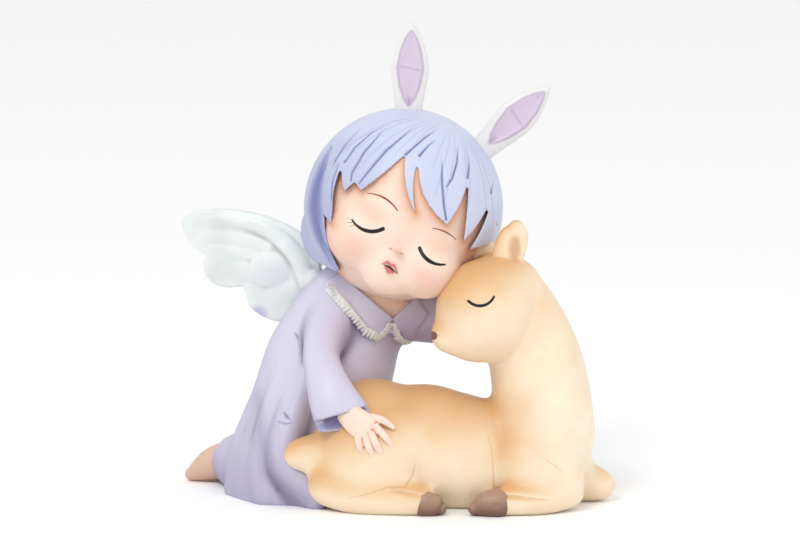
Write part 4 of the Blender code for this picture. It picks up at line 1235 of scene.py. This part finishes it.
# Creases about the thigh, the shoulder and the near legs: across, up and depth
CREASES = [
    [
        (5.4, 15.5, 0.3),
        (4.7, 12.6, 1.0),
        (2.4, 8.9, 1.1),
        (-2.7, 9.0, 0.7),
        (-9.0, 6.9, 0.4),
        (-14.5, 5.6, 0.2),
    ],
    [(-2.7, 9.0, 0.7), (3.0, 7.4, 0.4), (8.0, 6.3, 0.3)],
    [(27.4, 24.5, 0.05), (28.7, 20.0, 0.25), (29.0, 15.4, 0.5), (29.3, 10.4, 1.0), (29.5, 6.9, 0.8)],
    [(29.5, 6.9, 0.8), (37.5, 6.2, 0.5), (45.3, 5.0, 0.3)],
    [(44.8, 17.2, 0.2), (47.4, 15.6, 0.7), (49.6, 13.8, 0.2)],
]
# The near hind leg, near foreleg, far foreleg and tail
FAWN_LEGS = [
    [
        (-21, -29, 7, 6.4, 7.8),
        (-12, -34.2, 5.2, 6.3, 6.3),
        (-1, -37.0, 4.6, 5.5, 5.5),
        (8, -38.2, 4.0, 4.7, 4.7),
    ],
    [
        (52, -30.5, 5.6, 5.6, 6.1),
        (44, -36.4, 4.4, 5.3, 5.3),
        (36, -38.4, 4.1, 4.7, 4.7),
        (30, -38.8, 4.0, 4.7, 4.7),
    ],
    [(48, -14, 9, 8, 8), (57.5, -15, 6.0, 6.8, 6.6), (62.6, -16, 5.0, 5.3, 5.5)],
    [(-17, -24, 18, 5.6, 5.6), (-25, -25.5, 17, 5.8, 5.8), (-29.8, -26, 16.2, 5.5, 5.6)],
]
# Above this height the fawn's ears stay crisp
EARS_FROM = 73.5
FAWN_EAR = [
    (32.2, -20.0, 73.0, 4.4, 3.0),
    (33.9, -20.5, 77.5, 5.1, 2.9),
    (35.2, -20.5, 81.5, 5.0, 2.5),
    (36.1, -20.5, 84.4, 4.0, 2.0),
    (36.4, -20.5, 86.2, 2.3, 1.4),
]


def fawn():
    """The lying fawn: body, head and ears are fused by turns, each with its own softness."""
    clay = bmesh.new()
    ball(clay, (-7, -17, 18.5), (18.5, 20, 19.8))
    ball(clay, (8, -17, 19), (21, 17, 17.6))
    ball(clay, (13, -17, 15.5), (27, 19, 19))
    ball(clay, (44, -17, 21), (16, 17.5, 25))
    ball(clay, (22, -22, 11), (17, 13.5, 13))
    neck_stations = [
        (45.5, -17, 22, 15.5, 16),
        (43.5, -17, 38, 15, 15),
        (40.6, -18, 49, 14, 14),
        (36.2, -18, 59, 12.8, 13),
        (31.8, -18, 64, 12.3, 12.5),
    ]
    roll(clay, neck_stations)
    ball(clay, (-5.5, -26.0, 16.5), (19.0, 14.5, 16.5), lean=-18)
    ball(clay, (42.5, -27.5, 13), (15, 12, 12), lean=22)
    for leg in FAWN_LEGS:
        roll(clay, leg)
    body = fused("fawn body", clay, FAWN_CELL * 1.6, 3.0)
    clay = bmesh.new()
    ball(clay, (27.5, -22, 60), 16)
    ball(clay, (31.5, -18.5, 62.8), 14.3)
    ball(clay, (25, -24, 54.5), (13, 11.5, 10.3))
    ball(clay, (17.2, -25.5, 53.2), (7.4, 7.2, 6.4))
    head = fused("fawn head", clay, FAWN_CELL, 2.2)
    clay = bmesh.new()
    roll(clay, FAWN_EAR, facing=(0.25, -0.97, 0.0))
    hollow = bmesh.new()
    ball(hollow, (37.6, -24.0, 79.9), (2.6, 2.7, 6.3), lean=12)
    clay = clay_of(carved("near ear", clay, [hollow]))
    ball(clay, (25.9, -12.5, 77.0), (3.8, 2.6, 4.8), lean=20)
    ears = fused("fawn ears", clay, FAWN_CELL * 0.6, 0.4)
    mesh = fused("fawn", clay_of(body, head, ears), FAWN_CELL, 0.3)
    softened(mesh, 1.2, np.clip((EARS_FROM - coordinates(mesh)[:, 2]) / 3, 0, 1))
    grooved(mesh, PICTURE, CREASES, 0.7)
    return mesh


def hooves():
    """The two near hooves, toe to toe."""
    clay = bmesh.new()
    roll(clay, [(8.6, -38.8, 3.3, 4.2, 4.0), (11.6, -39.0, 2.6, 3.4, 3.2), (13.2, -39.0, 1.9, 1.8, 1.8)])
    roll(clay, [(30.2, -39.6, 3.8, 4.5, 4.5), (26.5, -39.8, 3.3, 3.9, 3.8), (23.4, -39.8, 2.1, 2.0, 2.2)])
    return fused("hooves", clay, HAND_CELL, 0.3)


# Wings

WING_OUTLINE = [
    (0.0, -6.0, 0.0),
    (13.3, -11.4, -0.09),
    (23.4, -6.3, 0.02),
    (25.0, -0.2, -0.11),
    (34.4, -0.1, -0.22),
    (36.7, 9.2, -0.15),
    (44.4, 17.1, -0.19),
    (42.2, 22.1, -0.035),
    (27.4, 23.4, -0.062),
    (5.5, 16.2, 0.0),
    (0.0, 8.0, 0.0),
]
WING_FEATHERS = [
    [(14, 16.5, 3.8, 1.9), (28, 19.8, 3.7, 1.9), (37, 20.0, 3.2, 1.8), (41.5, 19.4, 2.4, 1.4)],
    [(16, 12.5, 3.8, 1.9), (28, 14.6, 3.8, 1.9), (37, 15.2, 3.2, 1.8), (41.5, 15.4, 2.2, 1.4)],
    [(18, 9.0, 3.4, 1.9), (28, 10.9, 3.2, 1.9), (34, 11.4, 2.6, 1.8), (38.0, 11.9, 1.8, 1.4)],
    [(16, 4.2, 5.4, 1.9), (26, 4.2, 5.2, 2.0), (33.0, 4.2, 3.9, 1.7)],
    [(8, -1.5, 7.4, 1.9), (15, -3.4, 6.6, 2.0), (19.4, -4.8, 4.2, 1.6)],
]
WING_EDGE = [
    (34, 21.0, 1.6, 2.2),
    (27, 20.6, 2.2, 2.6),
    (19, 18.4, 2.9, 2.9),
    (12.5, 14.6, 3.2, 3.0),
    (7, 8.5, 3.4, 2.8),
    (4.5, 1, 3.2, 2.4),
]
WING_PAD = (16.6, 5.4)
WING_PAD_RADII = (7.8, 2.7, 7.4)
# Grooves between the feathers and the quill ticks on the upper one
WING_LINES = [
    [(13, 15.4, 0.3), (27, 17.2, 0.8), (44, 18.0, 0.7)],
    [(22, 11.4, 0.5), (30, 12.8, 0.8), (42, 14.0, 0.6)],
    [(24, 7.6, 0.5), (30, 8.2, 0.8), (37, 9.0, 0.6)],
    [(12, 1.6, 0.3), (19, -0.6, 0.8), (25, -0.9, 0.6)],
    [(24, 20.4, 0.2), (26.6, 18.8, 0.5)],
    [(27.5, 21.0, 0.2), (30.1, 19.2, 0.5)],
    [(31, 21.4, 0.2), (33.6, 19.6, 0.5)],
    [(34.5, 21.4, 0.2), (37.1, 19.8, 0.5)],
    [(26, 16.4, 0.2), (28.6, 14.8, 0.4)],
    [(30, 16.8, 0.2), (32.6, 15.2, 0.4)],
    [(29, 5.8, 0.2), (31.6, 3.6, 0.4)],
    [(14, -3.0, 0.2), (16.6, -5.4, 0.4)],
]
WING_LINE_WIDTH = 0.45
WING_PLATE = 1.6
WING_STUB = [(5, 0, 3, 4, 2.6), (-2, 1.5, 1, 4, 2.6), (-8, 3, 0, 3.5, 2.6)]
WING_ROOTS = {
    "wing_right": ((-23.5, 12.0, 62.4), (-0.975, 0.222)),
    "wing_left": ((-1.5, 13.5, 60.5), (0.735, 0.678)),
}


def wing(root, outward):
    """A thin plate with the wing's outline, feathers laid on it, a rounded front edge and a pad."""
    out = Vector((*outward, 0.0)).normalized()
    face = out.cross(Vector((0, 0, 1)))
    if face.y > 0:
        face = -face
    frame = Matrix.Translation(Vector(root)) @ Matrix(
        ((out.x, face.x, 0, 0), (out.y, face.y, 0, 0), (0, 0, 1, 0), (0, 0, 0, 1))
    )
    clay = bmesh.new()
    slab(clay, bowed(WING_OUTLINE, 10), -WING_PLATE, WING_PLATE, frame)
    for feather in [*WING_FEATHERS, WING_EDGE]:
        roll(clay, [(a, 0.0, b, w, d) for a, b, w, d in feather], frame=frame, facing=(0.0, 1.0, 0.0))
    ball(clay, (WING_PAD[0], 0, WING_PAD[1]), WING_PAD_RADII, frame=frame)
    roll(clay, WING_STUB, frame=frame)
    mesh = fused("wing", clay, WING_CELL, 0.7)
    grooved(mesh, frame, WING_LINES, WING_LINE_WIDTH)
    return mesh


# Rabbit ears

EAR_OUTLINE = [
    (-0.12, 0.64),
    (0.05, 0.69),
    (0.18, 0.77),
    (0.34, 0.88),
    (0.5, 0.945),
    (0.64, 0.86),
    (0.75, 0.70),
    (0.87, 0.46),
    (0.94, 0.27),
    (0.985, 0.11),
]
EAR_HOLLOW_OUTLINE = [(0.09, 0.05), (0.17, 0.28), (0.3, 0.5), (0.5, 0.65)]
EAR_HOLLOW_OUTLINE += [(0.7, 0.5), (0.83, 0.28), (0.91, 0.06)]
EAR_LENGTH, EAR_HALF_WIDTH, EAR_HALF_THICKNESS, EAR_HOLLOW = 27.8, 6.1, 2.4, 1.2
FOLD_RADIUS = 0.35
# Where each ear stands round the head, how far it leans, in degrees, and how deep its foot is
EAR_SETTINGS = {"rabbit_ear_right": (3.0, 2.0, 1.4), "rabbit_ear_left": (53.0, 47.0, 0.0)}


def ear_frame(bearing, lean, depth_in):
    """An ear's own frame, with its foot on the hair and its tip along z."""
    turn = math.radians(bearing)
    foot = Vector(HEAD_CENTRE) + Vector((math.sin(turn), 0.0, math.cos(turn))) * (HAIR_RADIUS - depth_in)
    return Matrix.Translation(foot) @ Matrix.Rotation(math.radians(lean), 4, "Y")


def rabbit_ear(frame):
    """A leaf with a shallow hollow in front and a fold across the hollow."""
    half, depth = EAR_HALF_WIDTH, EAR_HALF_THICKNESS
    clay = bmesh.new()
    leaf = [(0.0, 0.0, t * EAR_LENGTH, w * half, depth * (0.55 + 0.45 * w)) for t, w in EAR_OUTLINE]
    roll(clay, leaf, frame=frame, edge=1.15, sides=36)
    hollow = bmesh.new()
    front = []
    for t, w in EAR_HOLLOW_OUTLINE:
        front.append((0.0, -depth - 0.4, t * EAR_LENGTH, w * half, 0.4 + EAR_HOLLOW * (0.5 + 0.75 * w)))
    roll(hollow, front, frame=frame, sides=36)
    clay = clay_of(carved("ear", clay, [hollow]))
    middle = 0.5 * EAR_LENGTH
    fold = [(-3.6, -0.9, middle), (0, -0.75, middle - 0.3), (3.6, -0.9, middle)]
    roll(clay, [(*point, FOLD_RADIUS, FOLD_RADIUS) for point in fold], frame=frame)
    return fused("ear", clay, EAR_CELL, 0.15)


def inner_ear(frame):
    """Marks the hollow: 1 inside its outline on the front, 0 outside."""
    heights, widths = np.array(EAR_HOLLOW_OUTLINE).T

    def worth(points):
        placed = in_frame(points, frame)
        half = np.interp(placed[:, 2] / EAR_LENGTH, heights, widths * EAR_HALF_WIDTH, left=-1, right=-1)
        inside = (half * 1.05 - np.abs(placed[:, 0])) / 0.5 + 0.5
        return np.clip(inside, 0, 1) * (placed[:, 1] < 0)

    return worth


def ear_creases(frame):
    """Marks the rim of the hollow and the fold across it, where painted shade goes."""
    ring = [(w * EAR_HALF_WIDTH, t * EAR_LENGTH, 0.0) for t, w in EAR_HOLLOW_OUTLINE]
    ring += [(-x, z, 0.0) for x, z, _ in ring[::-1]]
    middle = 0.5 * EAR_LENGTH
    fold = [(-3.4, middle + 0.5, 0.0), (0.0, middle, 0.0), (3.4, middle - 0.6, 0.0)]

    def worth(points):
        placed = in_frame(points, frame)
        rim, _ = to_lines(placed[:, [0, 2]], [ring + ring[:1]])
        across, _ = to_lines(placed[:, [0, 2]], [fold])
        marks = np.maximum(np.exp(-((rim / 0.4) ** 2)), 0.8 * np.exp(-((across / 0.35) ** 2)))
        return marks * (placed[:, 1] < 0)

    return worth


# The figurine

CAST = ["girl_and_fawn"]
cloth = gown()
piece("hair", hair(), hair_paint(), CAST, reach=1.2, marks={"deep": recessed})
skin_finish = skin_paint("pale skin, painted face", True)
piece("face", face(), skin_finish, CAST, reach=1.6, marks={"brown": under_hair})
flesh = skin_paint("pale skin", False)
shaded_skin = skin_paint("shaded skin", False, "#ecccb8", "#ddb39a")
piece("neck", neck(), shaded_skin, CAST, reach=1.6)
piece("right_hand", right_hand(), flesh, CAST, reach=0.9)
piece("left_hand", left_hand(), flesh, CAST, reach=0.9)
tan = skin_paint("tan skin", False, "#dcbca9", "#b98f7a")
piece("feet", feet(), tan, CAST, reach=1.6)
threads = lace_paint()
piece("collar_lace", collar(cloth, threads), threads, CAST, reach=0.8)
piece("gown", cloth, gown_paint(), CAST, reach=4.0)
piece("fawn", fawn(), fawn_paint(), CAST, reach=2.2)
piece("hooves", hooves(), hoof_paint(), CAST, reach=1.2)
pearl = wing_paint()
for name, (root, outward) in WING_ROOTS.items():
    piece(name.replace("wing", "pearl_wing"), wing(root, outward), pearl, [name], reach=1.8)
white = ear_paint()
for name, setting in EAR_SETTINGS.items():
    at = ear_frame(*setting)
    marks = {"inner": inner_ear(at), "crease": ear_creases(at)}
    piece(name.replace("rabbit", "white"), rabbit_ear(at), white, [name], reach=0.8, marks=marks)


# Studio


def floor():
    """A white matt sweep that the figurine stands on."""
    mesh = bpy.data.meshes.new("floor")
    size = 4.0
    corners = [(-size, -size, 0), (size, -size, 0), (size, size, 0), (-size, size, 0)]
    mesh.from_pydata(corners, [], [(0, 1, 2, 3)])
    obj = bpy.data.objects.new("floor", mesh)
    made = bpy.data.materials.new("white sweep")
    made.use_nodes = True
    shader = made.node_tree.nodes["Principled BSDF"]
    shader.inputs["Base Color"].default_value = linear("#fcfcfc")
    shader.inputs["Roughness"].default_value = 0.9
    mesh.materials.append(made)
    bpy.context.scene.collection.objects.link(obj)


LIGHT_AIM = Vector((0, 0, 0.07))


def softbox(name, place, size, watts):
    """A large soft light aimed at the figurine's middle."""
    light = bpy.data.lights.new(name, "AREA")
    light.shape = "DISK"
    light.size = size
    light.energy = watts
    obj = bpy.data.objects.new(name, light)
    obj.location = place
    obj.rotation_euler = (LIGHT_AIM - Vector(place)).to_track_quat("-Z", "Y").to_euler()
    bpy.context.scene.collection.objects.link(obj)


def studio():
    """A white surround with one large soft light and a weak one against it."""
    floor()
    world = bpy.data.worlds.new("studio")
    world.use_nodes = True
    sky = world.node_tree.nodes["Background"]
    sky.inputs["Color"].default_value = (1.0, 1.0, 1.0, 1.0)
    sky.inputs["Strength"].default_value = 0.92
    bpy.context.scene.world = world
    softbox("key", (-0.35, -0.8, 0.95), 0.4, 4.5)
    softbox("fill", (0.9, -0.4, 0.4), 0.6, 0.6)
    bpy.context.scene.view_settings.view_transform = "Standard"


CAMERA_DISTANCE = 1.5
CAMERA_TARGET = Vector((0.9, -15.0, 72.2)) * SHARE
SENSOR = 36.0


def camera():
    """Square on to the figurine and 8 degrees above it, with a long lens."""
    data = bpy.data.cameras.new("camera")
    data.sensor_width = SENSOR
    picture_width = PHOTO_WIDTH * SHARE_PER_PIXEL * SHARE
    data.lens = SENSOR * CAMERA_DISTANCE / picture_width
    obj = bpy.data.objects.new("camera", data)
    back = Vector((0, -math.cos(VIEW_TILT), math.sin(VIEW_TILT)))
    obj.location = CAMERA_TARGET + back * CAMERA_DISTANCE
    obj.rotation_euler = (-back).to_track_quat("-Z", "Y").to_euler()
    bpy.context.scene.collection.objects.link(obj)
    bpy.context.scene.camera = obj


studio()
camera()
